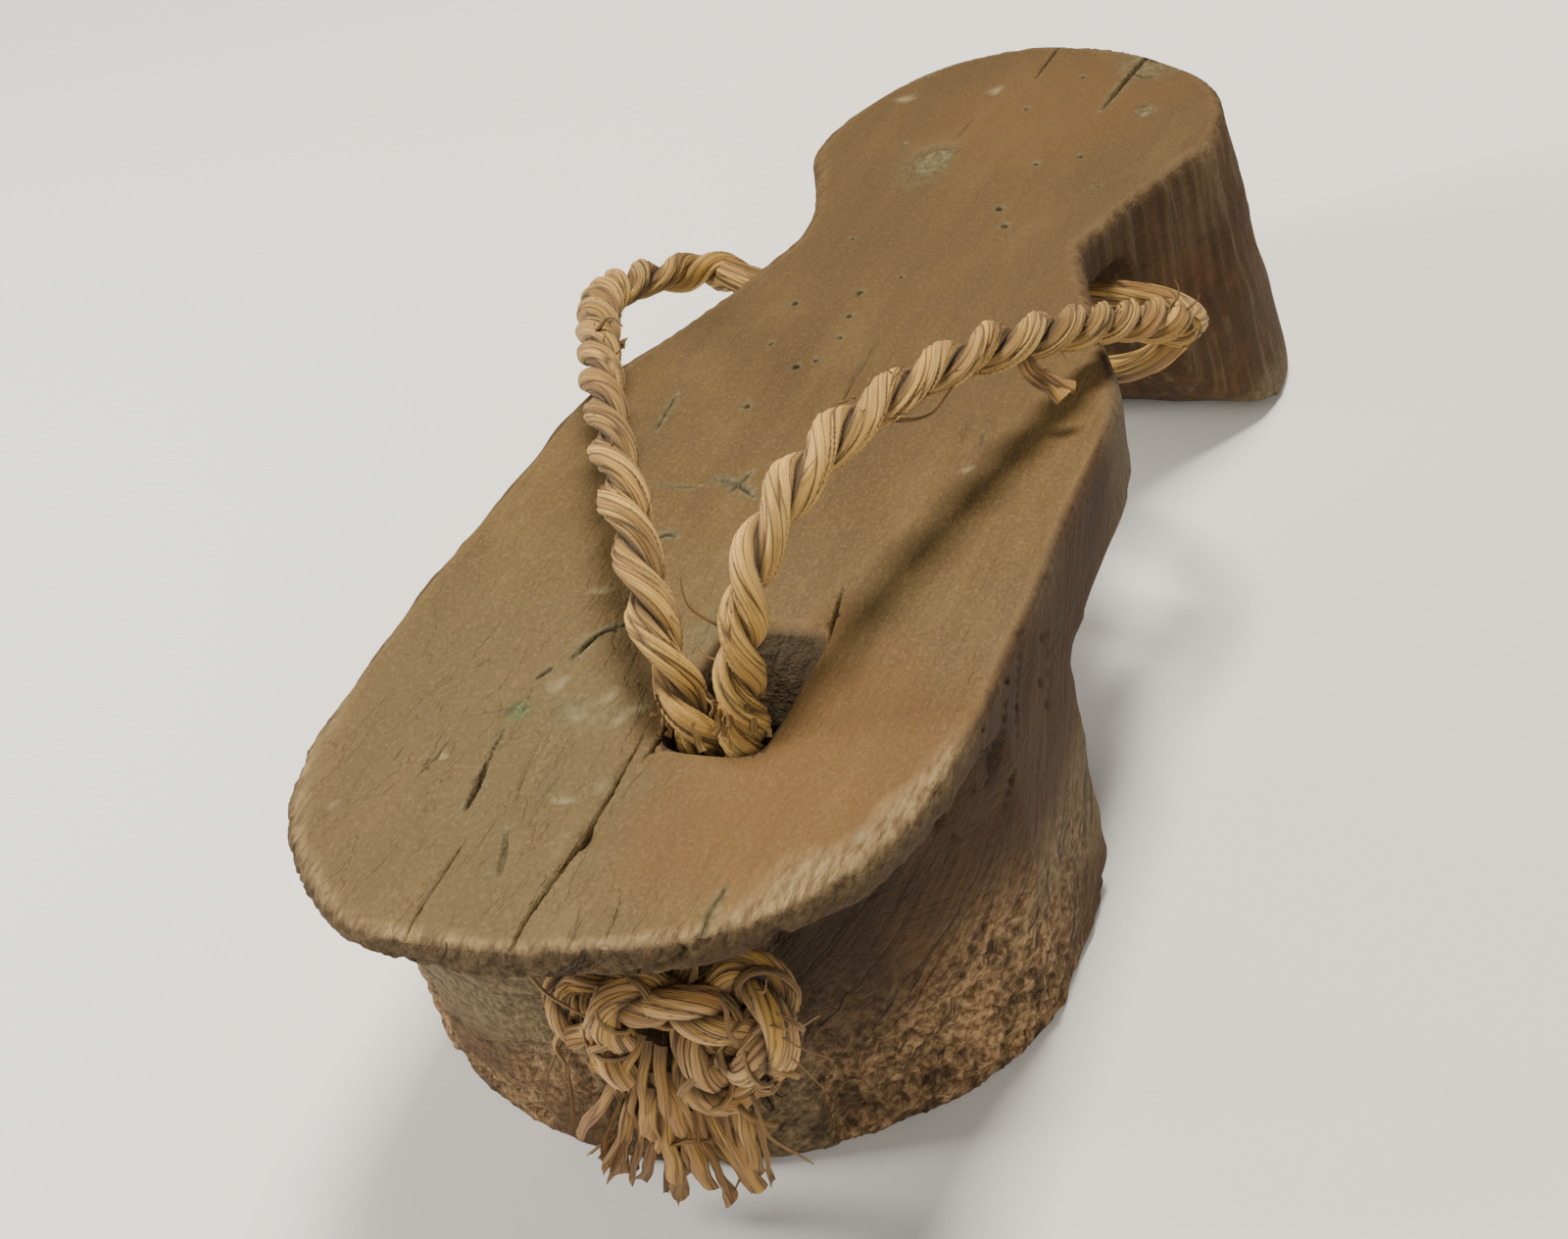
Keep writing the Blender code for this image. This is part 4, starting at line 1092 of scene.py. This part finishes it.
outwards = g.vector("NORMALIZE", read(g, "outwards", "FLOAT_VECTOR"))
facing_in = g.vector("DOT_PRODUCT", outwards, g.out("GeometryNodeInputNormal")) * -1.0
# Painted shade: the side of each ply that faces the other one is darkened in the straw's colour.
tube = keep(g, tube, "shade_paint", facing_in.between(-0.12, 0.62))
g.fill(end, straw_skin(g, tube, given, PLY_FLUTES))
print("lay_a_ply has", len(g.tree.nodes), "nodes")

# %% [markdown]
# ## From lines to rope
#
# A guide is a bare chain of points with its attributes. The graph is attached to it as a modifier,
# its inputs are set by their identifiers, and the evaluated result is copied to a plain mesh, so
# that nothing live is left on the finished piece.

# %% Run a graph on a guide
def guide(chains):
    """Chains of points as one mesh of edges. Each chain is a dict of point arrays with its attributes."""
    mesh = bpy.data.meshes.new("guide")
    edges, start = [], 0
    for chain in chains:
        count = len(chain["places"])
        edges += [(start + i, start + i + 1) for i in range(count - 1)]
        start += count
    mesh.from_pydata(metres(np.vstack([chain["places"] for chain in chains])).tolist(), edges, [])
    for key in sorted(set(chains[0]) - {"places"}):
        values = np.concatenate([np.broadcast_to(chain[key], len(chain["places"])) for chain in chains])
        mesh.attributes.new(key, "FLOAT", "POINT").data.foreach_set("value", values.astype(np.float32))
    return shown("guide", mesh)


def grow(chains, graph, **inputs):
    """Runs a graph on a guide of these chains, and returns the result as a plain mesh."""
    obj = guide(chains)
    modifier = obj.modifiers.new(graph.name, "NODES")
    modifier.node_group = graph
    sockets = {item.name: item.identifier for item in graph.interface.items_tree if item.in_out == "INPUT"}
    for label, value in inputs.items():
        modifier[sockets[label.replace("_", " ")]] = value
    return baked(obj)


def lay_ply(chain, out, radius, fibres, **inputs):
    """One ply as a mesh. How far out it lies, its radius and the height of its fibres are in millimetres."""
    return grow([chain], ply_graph, Distance_Out=out * MM, Ply_Radius=radius * MM,
                Fibre_Height=fibres * MM, **inputs)


def joined(name, meshes):
    """Several meshes as one smooth object, with the materials of the first."""
    whole = bpy.data.meshes.new(name)
    with editing(whole) as bm:
        for mesh in meshes:
            bm.from_mesh(mesh)
    for material in meshes[0].materials:
        whole.materials.append(material)
    whole.shade_smooth()
    return shown(name, whole)


print("ready to lay rope")

# %% [markdown]
# ## The thong
#
# The plies of one strand differ only in the angle at which they start, half a turn apart. A
# strand's girth swells and thins a little, as hand-made rope does, and the right strand closes to a
# rounded tip. Under the waist each ply runs alone.

# %% Lay the strands and the plies under the waist
ROPE_RADIUS, PLY_SHARE, WAIST_PLY_RADIUS = 3.3, 0.56, 2.1
THINNEST, SWELL = 0.92, 0.14         # shares of the girth
STRAND_FIBRES, WAIST_FIBRES = 0.5, 0.4
STRAND_WIND = 170.0                  # radians per metre that the leaves wind round their own ply
STRAND_STEP, WAIST_STEP = 0.65, 1.0
STRAND_SIDES, WAIST_SIDES = 50, 32
TIP_LENGTH = 2.6


def strand_chain(route, tip):
    """The strand's middle line with its turn. Its girth swells a little here and there, and closes at tip."""
    path = even_steps(smooth_curve(route, 12), STRAND_STEP)
    steps = step_lengths(path)
    turned = -math.pi * np.concatenate([[0.0], np.cumsum(steps * path[1:, 3])])
    reached = np.concatenate([[0.0], np.cumsum(steps)])
    swell = noise(np.column_stack([reached, reached * 0, reached * 0]), (0.13, 1, 1), 71 + int(tip))
    left = held((reached[-1] - reached) / TIP_LENGTH)
    close = np.sqrt(np.clip(1 - (1 - left) ** 2, 0.05, 1.0)) if tip else 1.0
    return {"places": path[:, :3], "turn": turned, "girth": (THINNEST + SWELL * swell) * close}


plies = []
for route, tip in zip(STRANDS.values(), (False, True)):
    for half in (0, 1):
        plies.append(lay_ply(
            strand_chain(route, tip), ROPE_RADIUS * (1 - PLY_SHARE), ROPE_RADIUS * PLY_SHARE, STRAND_FIBRES,
            Start_Angle=math.pi * half, Sides=STRAND_SIDES, Wind=STRAND_WIND, Seed=3.7 * len(plies),
            Straw=rope_straw))
for number, route in enumerate(WAIST_PLIES):
    chain = {"places": even_steps(smooth_curve(route, 6), WAIST_STEP), "turn": 0.0, "girth": 1.0}
    plies.append(lay_ply(chain, 0.0, WAIST_PLY_RADIUS, WAIST_FIBRES, Sides=WAIST_SIDES, Seed=20.0 + number,
                         Straw=rope_straw))
thong = joined("straw_thong", plies)
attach(thong, "root")
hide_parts("rope_thong")
print("thong:", triangle_count(thong.data), "triangles")

# %% [markdown]
# ## Stopper knots
#
# Below the hole each strand ends in an overhand knot, which is a trefoil opened at one place. Its
# middle line is three sines, so the same graph lays its plies. Single leaves are then wound over
# the coil, by the same graph again, a little farther out.

# %% Tie the knots
Knot = namedtuple("Knot", "name x y z size rope tail")
KNOTS = [
    Knot("knot_left", 3.2, -105.2, 38.6, 1.6, 1.85,
         [(-1.8, -107.3, 41), (-2.6, -107.4, 36.4), (-2.4, -107.2, 33)]),
    Knot("knot_right", 20.8, -109.4, 39.6, 3.1, 2.95,
         [(11.4, -113.2, 47), (7.9, -113.4, 43), (7.8, -112.6, 34)]),
]
KNOT_DEPTH, KNOT_NARROW, KNOT_TWIST = 0.98, 0.95, 0.115
KNOT_START, KNOT_END, KNOT_ANGLE = 316.0, 284.0, 7.5          # degrees round the trefoil, and a step
KNOT_PLY_OUT, KNOT_PLY_RADIUS, KNOT_SIDES = 0.50, 0.64, 44
KNOT_WIND, BINDING_WIND = -210.0, 120.0                       # the leaves of a pulled knot cross its plies
COIL_STEP, BINDING_STEP, BINDING_SIDES = 0.7, 0.5, 18
KNOT_FIBRES, BINDING_FIBRES = 0.5, 0.22
BINDING_TAPER, BINDING_APART, BINDING_SKIN = 0.22, 2.1, 1.13  # a share, radians, and a share of the rope
Binding = namedtuple("Binding", "start stop turning thick")   # shares of the coil, radians a mm, of the rope
BINDINGS = {
    "knot_left": [(0.18, 0.55, 0.62, 0.19), (0.50, 0.86, -0.70, 0.18)],
    "knot_right": [(0.06, 0.34, 0.60, 0.19), (0.20, 0.38, -0.95, 0.13), (0.30, 0.50, -0.62, 0.17),
                   (0.40, 0.66, 0.66, 0.20), (0.55, 0.70, -1.05, 0.12), (0.62, 0.82, -0.66, 0.17),
                   (0.70, 0.97, 0.58, 0.19), (0.84, 0.97, -0.95, 0.12)],
}


def knot_curve(knot, strand_route):
    """From the strand's end into the trefoil, round it, and out along the knot's tail."""
    end, before = (np.array(row[:3]) for row in strand_route[:2])
    onward = (end - before) / np.linalg.norm(end - before)
    route = [end + onward * 0.3, end + onward * (0.5 + 1.5 * knot.rope)]
    span = 360.0 - KNOT_START + KNOT_END
    count = round(span / KNOT_ANGLE)
    for i in range(count + 1):
        t = math.radians(KNOT_START + span * i / count)
        across = math.sin(t) + 2 * math.sin(2 * t)
        upwards = math.cos(t) - 2 * math.cos(2 * t)
        out = KNOT_DEPTH * math.sin(3 * t)
        place = (knot.size * KNOT_NARROW * across, -knot.size * out, knot.size * upwards)
        route.append(np.add(place, (knot.x, knot.y, knot.z)))
    return smooth_curve(np.vstack([route, knot.tail]), 4)


coils, knot_meshes = {}, {}
for knot, route in zip(KNOTS, STRANDS.values()):
    curve = knot_curve(knot, route)
    coil = coils[knot.name] = even_steps(curve, COIL_STEP)
    turn = -math.pi * KNOT_TWIST * (COIL_STEP * np.arange(len(coil)))
    meshes = knot_meshes[knot.name] = []
    for half in (0, 1):
        chain = {"places": coil, "turn": turn, "girth": 1.0}
        meshes.append(lay_ply(
            chain, KNOT_PLY_OUT * knot.rope, KNOT_PLY_RADIUS * knot.rope, KNOT_FIBRES,
            Start_Angle=math.pi * half, Sides=KNOT_SIDES, Wind=KNOT_WIND,
            Seed=31.0 + 2.3 * half + knot.size, Straw=knot_straw))
    path = even_steps(curve, BINDING_STEP)
    for number, row in enumerate(BINDINGS[knot.name]):
        leaf = Binding(*row)
        part = path[int(leaf.start * len(path)):int(leaf.stop * len(path))]
        girth = 1.0 - BINDING_TAPER * np.abs(2 * np.linspace(0.0, 1.0, len(part)) - 1) ** 6
        turn = leaf.turning * BINDING_STEP * np.arange(len(part)) + BINDING_APART * number
        meshes.append(lay_ply(
            {"places": part, "turn": turn, "girth": girth}, (BINDING_SKIN - leaf.thick) * knot.rope,
            leaf.thick * knot.rope, BINDING_FIBRES, Sides=BINDING_SIDES, Wind=BINDING_WIND,
            Seed=50.0 + number, Straw=knot_straw))
print("knots:", {name: sum(map(triangle_count, meshes)) for name, meshes in knot_meshes.items()})

# %% [markdown]
# ## Cut straw
#
# The tails fray into blades. A blade is a flat leaf, cupped across and bent along, and it hangs
# where it was left, so the blades are listed one by one: a root, a point on the way, a tip and a
# width. A second graph sweeps a thin crescent along them all at once, and turns and wrinkles each.

# %% The graph that makes blades
BLADE_SIDES, BLADE_FLUTES = 14, 3.0
g, given, end = geometry_graph(
    "cut_blades", Fibre_Height=0.0002, Cup=0.35, Wind=0.0, Thickness=0.16, Seed=0.0, Straw=None)
blade_graph = g.tree
spot = g.out("GeometryNodeInputPosition")
across = g.split(spot, "X")
deep = g.split(spot, "Y") * given["Thickness"] + across * across * given["Cup"]
crescent = g.combined(X=across, Y=deep)
circle = unit_circle(g, BLADE_SIDES)
profile = g.out("GeometryNodeSetPosition", {"Geometry": circle, "Position": crescent})
tube = swept(g, tilted_line(g, given, read(g, "turn")), profile, read(g, "girth"))
# Painted shade at the root of each blade, for the straw's colour.
tube = keep(g, tube, "shade_paint", read(g, "shade"))
g.fill(end, straw_skin(g, tube, given, BLADE_FLUTES))
print("cut_blades has", len(g.tree.nodes), "nodes")

# %% [markdown]
# ## Where the straw has frayed
#
# The tables give each knot its leaves, its rolled stubs and its loose fibres, and the thong its
# loose fibres and torn flaps.

# %% Tables of blades
Blade = namedtuple("Blade", "line width turn")            # millimetres, and degrees of turn about its length


def blades(*rows):
    return [Blade(*row) for row in rows]


LEAVES = {}
LEAVES["knot_left"] = blades(
    ([(7, -110.4, 27.5), (0.8, -109.8, 18.8), (-6.8, -107.2, 9.6)], 0.9, 20),
    ([(6, -110.2, 26.5), (0.4, -109.2, 17.2), (-5.6, -107, 8.4)], 0.7, 70),
    ([(5.4, -110, 27.5), (1.2, -110.6, 17), (-3.7, -107.9, 7)], 3, 15),
    ([(7, -110.4, 26), (2.9, -110.4, 16), (-1.4, -107.8, 7.2)], 2.4, -25),
    ([(5, -109.6, 28), (-0.4, -110.2, 19), (-4.8, -107.6, 8.4)], 1.3, 50),
    ([(7.6, -110.2, 25), (4.6, -110, 15), (-0.2, -107.6, 6.4)], 1.6, 35),
    ([(-1.6, -107.6, 37), (-3.8, -109.8, 33), (-4, -109.2, 28)], 1.2, 10),
    ([(-2.4, -107.2, 34), (-5, -108.6, 24), (-7.8, -106.8, 14)], 0.8, 40),
    ([(3.4, -108.4, 31), (1, -109.6, 24), (-0.6, -108.8, 18.4)], 1.5, 0),
    ([(6.4, -111, 29), (2.4, -111.8, 20), (-2.6, -109.4, 11)], 3.2, 30),
    ([(4.6, -110.8, 30), (-1.4, -111.4, 22.4), (-6.2, -108.8, 15.6)], 2.4, -20),
)
LEAVES["knot_right"] = blades(
    ([(11.2, -112.8, 40.6), (8.6, -114.6, 36), (6.6, -113.4, 32)], 2, 10),
    ([(11.8, -112.8, 39.8), (9.6, -114.6, 31.6), (6.8, -112.8, 22.4)], 1.7, -15),
    ([(13.2, -112.8, 39.4), (12.8, -114.8, 33.6), (11, -113.4, 26.4)], 2.4, 5),
    ([(13.2, -112.6, 34), (14.4, -113.6, 27.4), (13.2, -112.2, 21.4)], 1.3, 30),
    ([(9, -112, 38), (6.4, -113.6, 33), (4.6, -112, 27.2)], 1.5, 35),
    ([(9.2, -112.4, 35), (7.2, -113.4, 29), (4.4, -111, 21.4)], 1.4, -40),
    ([(10.4, -113, 33), (9.8, -114.2, 27), (8, -112.6, 20)], 1.8, 60),
    ([(12.6, -112.4, 31), (10, -113.6, 24.6), (6.6, -111.6, 20.2)], 1.1, 10),
    ([(6.4, -111.6, 20.8), (8.6, -111.2, 17), (12.2, -110.4, 12.6)], 1, 15),
    ([(9.4, -111, 24), (8.8, -111, 15), (5.2, -108.2, 4.6)], 2, 0),
    ([(8.8, -110.6, 22), (6.8, -110.4, 14), (3.2, -108, 5.2)], 0.8, 70),
    ([(13, -111.6, 25.6), (14.2, -111.8, 20.6), (13.6, -110, 14.8)], 0.9, 40),
    ([(12, -111.8, 27), (12, -112.4, 20), (9.6, -110.2, 12.6)], 1.3, -20),
    ([(14, -111.4, 24), (16.8, -112.4, 19.4), (19, -110.6, 13.6)], 1, 20),
    ([(20.4, -111, 29), (20.4, -112.2, 22), (18, -109.2, 12.4)], 2.8, -15),
    ([(22.4, -110.8, 29), (22.4, -112, 20.6), (19.8, -109, 11.4)], 1.3, 40),
    ([(18.6, -110.8, 29), (17.8, -112, 22), (16.4, -109.6, 14.4)], 1.8, 30),
    ([(10.8, -113, 21.6), (13.4, -113.8, 23.4), (16.6, -113, 23.8)], 0.9, 0),
    ([(15, -112, 30), (16, -113.2, 25), (15.4, -112, 20)], 1.1, 10),
    ([(10.6, -112.2, 30), (9.2, -113, 21), (6.8, -110.6, 11.4)], 3.2, -10),
    ([(12.4, -112.2, 29), (12.6, -113, 20), (11.6, -110.6, 10.6)], 2.8, 20),
    ([(14.6, -112, 28.4), (15.6, -112.6, 19.4), (15, -110.4, 9.4)], 3, -30),
    ([(16.4, -111.6, 28), (18.6, -112.4, 19.6), (18.4, -110.2, 11)], 2.4, 10),
    ([(11.4, -112.6, 34), (13, -114.2, 28.6), (12.2, -113.6, 24)], 2.8, 40),
    ([(25.6, -114.8, 51), (26.2, -116.4, 47.6), (26, -115.8, 44)], 0.7, 0),
    ([(28, -113, 40.4), (30, -114.4, 39), (31.2, -113, 36.8)], 0.9, 20),
    ([(22, -113.4, 31), (24.4, -114.6, 30), (26.6, -113.4, 28.2)], 0.9, 20),
)
STUBS = {}
STUBS["knot_left"] = blades(
    ([(7.4, -110.2, 40.4), (4.2, -111.4, 38.8), (0.8, -111.6, 37)], 2.9, 0),
)
STUBS["knot_right"] = blades(
    ([(9.2, -112.4, 38.4), (6.6, -113.8, 36.6), (4.8, -114.2, 35.8)], 2.2, 0),
    ([(10.6, -113.2, 32.4), (9.4, -113.8, 27.6), (8.6, -113.2, 23)], 1.7, 0),
    ([(8.8, -110.6, 18), (7.4, -110, 12), (5.6, -108.6, 5.8)], 2.1, 0),
)
FIBRES = {}
FIBRES["knot_left"] = blades(
    ([(-5.2, -109, 46.2), (1.2, -112.6, 44.6), (7.6, -113.2, 41.2)], 0.42, 0),
    ([(4.2, -110.8, 39.8), (4, -113.2, 33.6), (5.6, -113, 30.2)], 0.46, 0),
    ([(-4, -107.4, 32), (-8, -109.6, 24), (-9.6, -107.4, 16)], 0.3, 0),
)
FIBRES["knot_right"] = blades(
    ([(24, -113, 32.6), (25.6, -114.8, 28.4), (27.2, -114.4, 25.6), (28.6, -111.6, 19.8)], 0.44, 0),
    ([(28.8, -112.6, 45), (33, -114.2, 46.4), (36.4, -113.4, 48.4)], 0.26, 0),
    ([(28.8, -112.6, 44), (33.4, -114.2, 43.4), (36.6, -113.8, 41.6)], 0.24, 0),
    ([(28.6, -112.4, 42.6), (32.4, -114, 40), (34.2, -113.6, 36.2)], 0.24, 0),
    ([(28.6, -112.2, 50), (31, -114.4, 52.4), (31.4, -114, 54)], 0.24, 0),
    ([(17.6, -110.6, 15.4), (16.4, -110.8, 12.6), (15, -110.4, 10.4)], 0.3, 0),
    ([(18.4, -110.6, 15), (18.2, -110.8, 12.4), (17.6, -110.4, 10.6)], 0.3, 0),
)
FIBRES["thong"] = blades(
    ([(-29.4, -13, 74.6), (-27.2, -12.2, 76.4), (-24.8, -13, 75.4)], 0.5, 0),
    ([(24, -36, 76), (26.8, -30.6, 73), (29.4, -24.6, 74.4)], 0.42, 0),
    ([(14.6, -74, 71), (11.4, -75.4, 75.4), (10.8, -74.6, 79.2)], 0.36, 0),
    ([(16.4, -74.4, 67), (12.6, -76.4, 68.4), (11, -76, 70.4)], 0.3, 0),
    ([(43, 26.6, 54), (44.2, 27.8, 56.4), (43.4, 28.4, 57.8)], 0.34, 0),
    ([(44.6, 27, 53), (46.6, 27.4, 54.6), (47.4, 27, 56)], 0.3, 0),
)
TORN = blades(
    ([(31.8, -7.4, 67.6), (34, -7.4, 64.4), (37.6, -7.8, 61.2)], 3, 30),
    ([(32.6, -6.4, 67), (35.2, -7, 64), (38.6, -6.2, 61.8)], 1.8, -30),
    ([(-31.6, -9, 71.8), (-28.8, -10.4, 71), (-26.4, -11.6, 71.8)], 1.6, 20),
)
print(sum(map(len, LEAVES.values())), "leaves and", sum(map(len, FIBRES.values())), "fibres by hand")

# %% [markdown]
# ## Blades, hairs and torn tips
#
# No two blades are alike, so each wavers, turns and widens by its own number in its table. Hairs
# that are too many to place are scattered along the rope from a fixed seed, so that they fall the
# same way each time. They leave the skin sideways and lean one way or the other along it.

# %% From a row of a table to a blade
BLADE_STEP, BLADE_CURVE_STEPS, WRINKLE = 0.8, 10, 0.10
WAVER, RAGGED_WIDTH, RAGGED_TURN = 0.18, 0.22, 0.5     # millimetres, a share of the width, and radians
ROOT_SHADE, SHADE_ENDS = 0.7, 0.30                     # how dark a root is, and where that has faded out
HAIR_LENGTHS, HAIR_WIDTHS, HAIR_LEANS = (1.2, 3.6), (0.10, 0.22), (0.5, 1.4)    # least and most of each
HAIR_TAPER, FIBRE_TAPER = -1.2, -1.0                   # below 0 a blade thins towards its tip
LEAF, FIBRE = (0.55, 0.2), (0.0, 1.0)          # how cupped a blade is, and how thick for its width


def blade_chain(blade, number, tapered=0.15):
    """A blade's middle line. It wavers and turns a little, and widens or thins towards its tip."""
    path = even_steps(smooth_curve(blade.line, BLADE_CURVE_STEPS), BLADE_STEP)
    share = np.linspace(0, 1, len(path))
    ragged = noise(np.column_stack([share * 7, share * 0 + number, share * 0]), 1.0, 83) - 0.5
    waver = [np.sin(share * 11 + number), np.cos(share * 9 + 2 * number), 0 * share]
    path = path + WAVER * min(1.0, blade.width) * np.column_stack(waver)
    girth = blade.width * MM / 2 * (1 - tapered / 2 + tapered * share) * (1 + RAGGED_WIDTH * ragged)
    turn = math.radians(blade.turn) + 0.5 * (share - 0.5) + RAGGED_TURN * ragged
    shade = ROOT_SHADE * (1 - ramp(share, 0.0, SHADE_ENDS))
    return {"places": path, "turn": turn, "girth": girth, "shade": shade, "tint": (number * 0.37) % 1.0}


def blade_chains(blades, *tapered):
    return [blade_chain(blade, number, *tapered) for number, blade in enumerate(blades)]


def stray_hairs(path, radius, count, seed):
    """Short hairs that leave the rope's skin here and there."""
    rng = np.random.default_rng(seed)
    hairs = []
    for number in range(count):
        at = int(rng.integers(2, len(path) - 2))
        onward = path[at + 1] - path[at - 1]
        onward /= np.linalg.norm(onward)
        side = np.cross(onward, rng.normal(size=3))
        side /= np.linalg.norm(side)
        length = rng.uniform(*HAIR_LENGTHS)
        lean = onward * rng.choice((-1.0, 1.0)) * rng.uniform(*HAIR_LEANS)
        root = path[at] + side * radius * 0.8
        mid = root + (side * 0.45 + lean) * length * 0.45
        tip = mid + (side * rng.uniform(0.1, 0.8) + lean + 0.3 * rng.normal(size=3)) * length * 0.4
        hairs.append(blade_chain(Blade([root, mid, tip], rng.uniform(*HAIR_WIDTHS), 0), number, HAIR_TAPER))
    return hairs


def frayed(name, replaces, flat, round_ones, seed):
    """Flat leaves and round fibres as one piece that rides with the solid it replaces."""
    meshes = []
    for group, (cup, thickness) in ((flat, LEAF), (round_ones, FIBRE)):
        meshes.append(grow(group, blade_graph, Cup=cup, Thickness=thickness,
                           Fibre_Height=WRINKLE * MM * cup, Seed=seed, Straw=blade_straw))
    piece = joined(name, meshes)
    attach(piece, "root")
    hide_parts(replaces)
    print(f"{name}: {len(flat)} leaves, {len(round_ones)} fibres, {triangle_count(piece.data)} triangles")


print("one leaf has", len(blade_chain(TORN[0], 0)["places"]), "steps")

# %% [markdown]
# ## The straw pieces
#
# Each knot is joined to one piece, and what has frayed from it to another. Just above the hole a
# collar of torn tips stands off each strand. Each piece rides with the solid whose straw it is.

# %% Make the knots and everything frayed
HAIR_COUNT = {"thong": 110, "knot_left": 14, "knot_right": 46}
COLLAR_COUNT, COLLAR_LOW, COLLAR_HIGH = 13, 57.6, 62.0        # torn tips round each strand, and their heights
COLLAR_STEP, BARE_BELOW = 0.5, 58.5
TORN_OUT, TORN_WIDTHS = (0.86, 1.08, 1.15, 1.42), (0.4, 1.0)   # shares of the radius, and millimetres
PAST_HOLE_Y = -70.0                  # behind it each strand passes these heights again
HAIR_SEED, THONG_HAIR_SEED, COLLAR_SEED = 5, 11, 29

for knot in KNOTS:
    whole = joined(f"straw_{knot.name}", knot_meshes[knot.name])
    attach(whole, "root")
    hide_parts(knot.name)
    thin = blade_chains(STUBS[knot.name], 0.0) + blade_chains(FIBRES[knot.name], FIBRE_TAPER)
    thin += stray_hairs(coils[knot.name][6:], knot.rope, HAIR_COUNT[knot.name], HAIR_SEED)
    frayed(f"frayed_{knot.name}", knot.name, blade_chains(LEAVES[knot.name]), thin, 7.0 + knot.size)
torn = blade_chains(TORN)
thin = blade_chains(FIBRES["thong"], FIBRE_TAPER)
rng = np.random.default_rng(COLLAR_SEED)
for seed, route in enumerate(STRANDS.values(), THONG_HAIR_SEED):
    curve = smooth_curve(route, 12)
    path = even_steps(curve, COLLAR_STEP)[:, :3]
    past_hole = 9.0 * (path[:, 1] > PAST_HOLE_Y)
    for number in range(COLLAR_COUNT):
        low = path[np.argmin(np.abs(path[:, 2] - rng.uniform(COLLAR_LOW, COLLAR_HIGH)) + past_hole)]
        angle = rng.uniform(0.0, math.tau)
        side = np.array([math.cos(angle), math.sin(angle), 0.0])
        root = low + side * ROPE_RADIUS * TORN_OUT[0] + (0.0, 0.0, 2.2)
        mid = low + side * ROPE_RADIUS * TORN_OUT[1] + (0.0, 0.0, 0.4)
        tip = low + side * ROPE_RADIUS * rng.uniform(*TORN_OUT[2:]) + (0.0, 0.0, rng.uniform(-1.4, 1.2))
        blade = Blade([root, mid, tip], rng.uniform(*TORN_WIDTHS), math.degrees(angle))
        torn.append(blade_chain(blade, number))
    path = even_steps(curve, COIL_STEP)[:, :3]
    thin += stray_hairs(path[path[:, 2] > BARE_BELOW], ROPE_RADIUS, HAIR_COUNT["thong"] // 2, seed)
frayed("frayed_thong", "rope_thong", torn, thin, 3.0)

# %% [markdown]
# ## The end
#
# When everything is made, the view layer is brought up to date once more.

# %% Finish
bpy.context.view_layer.update()
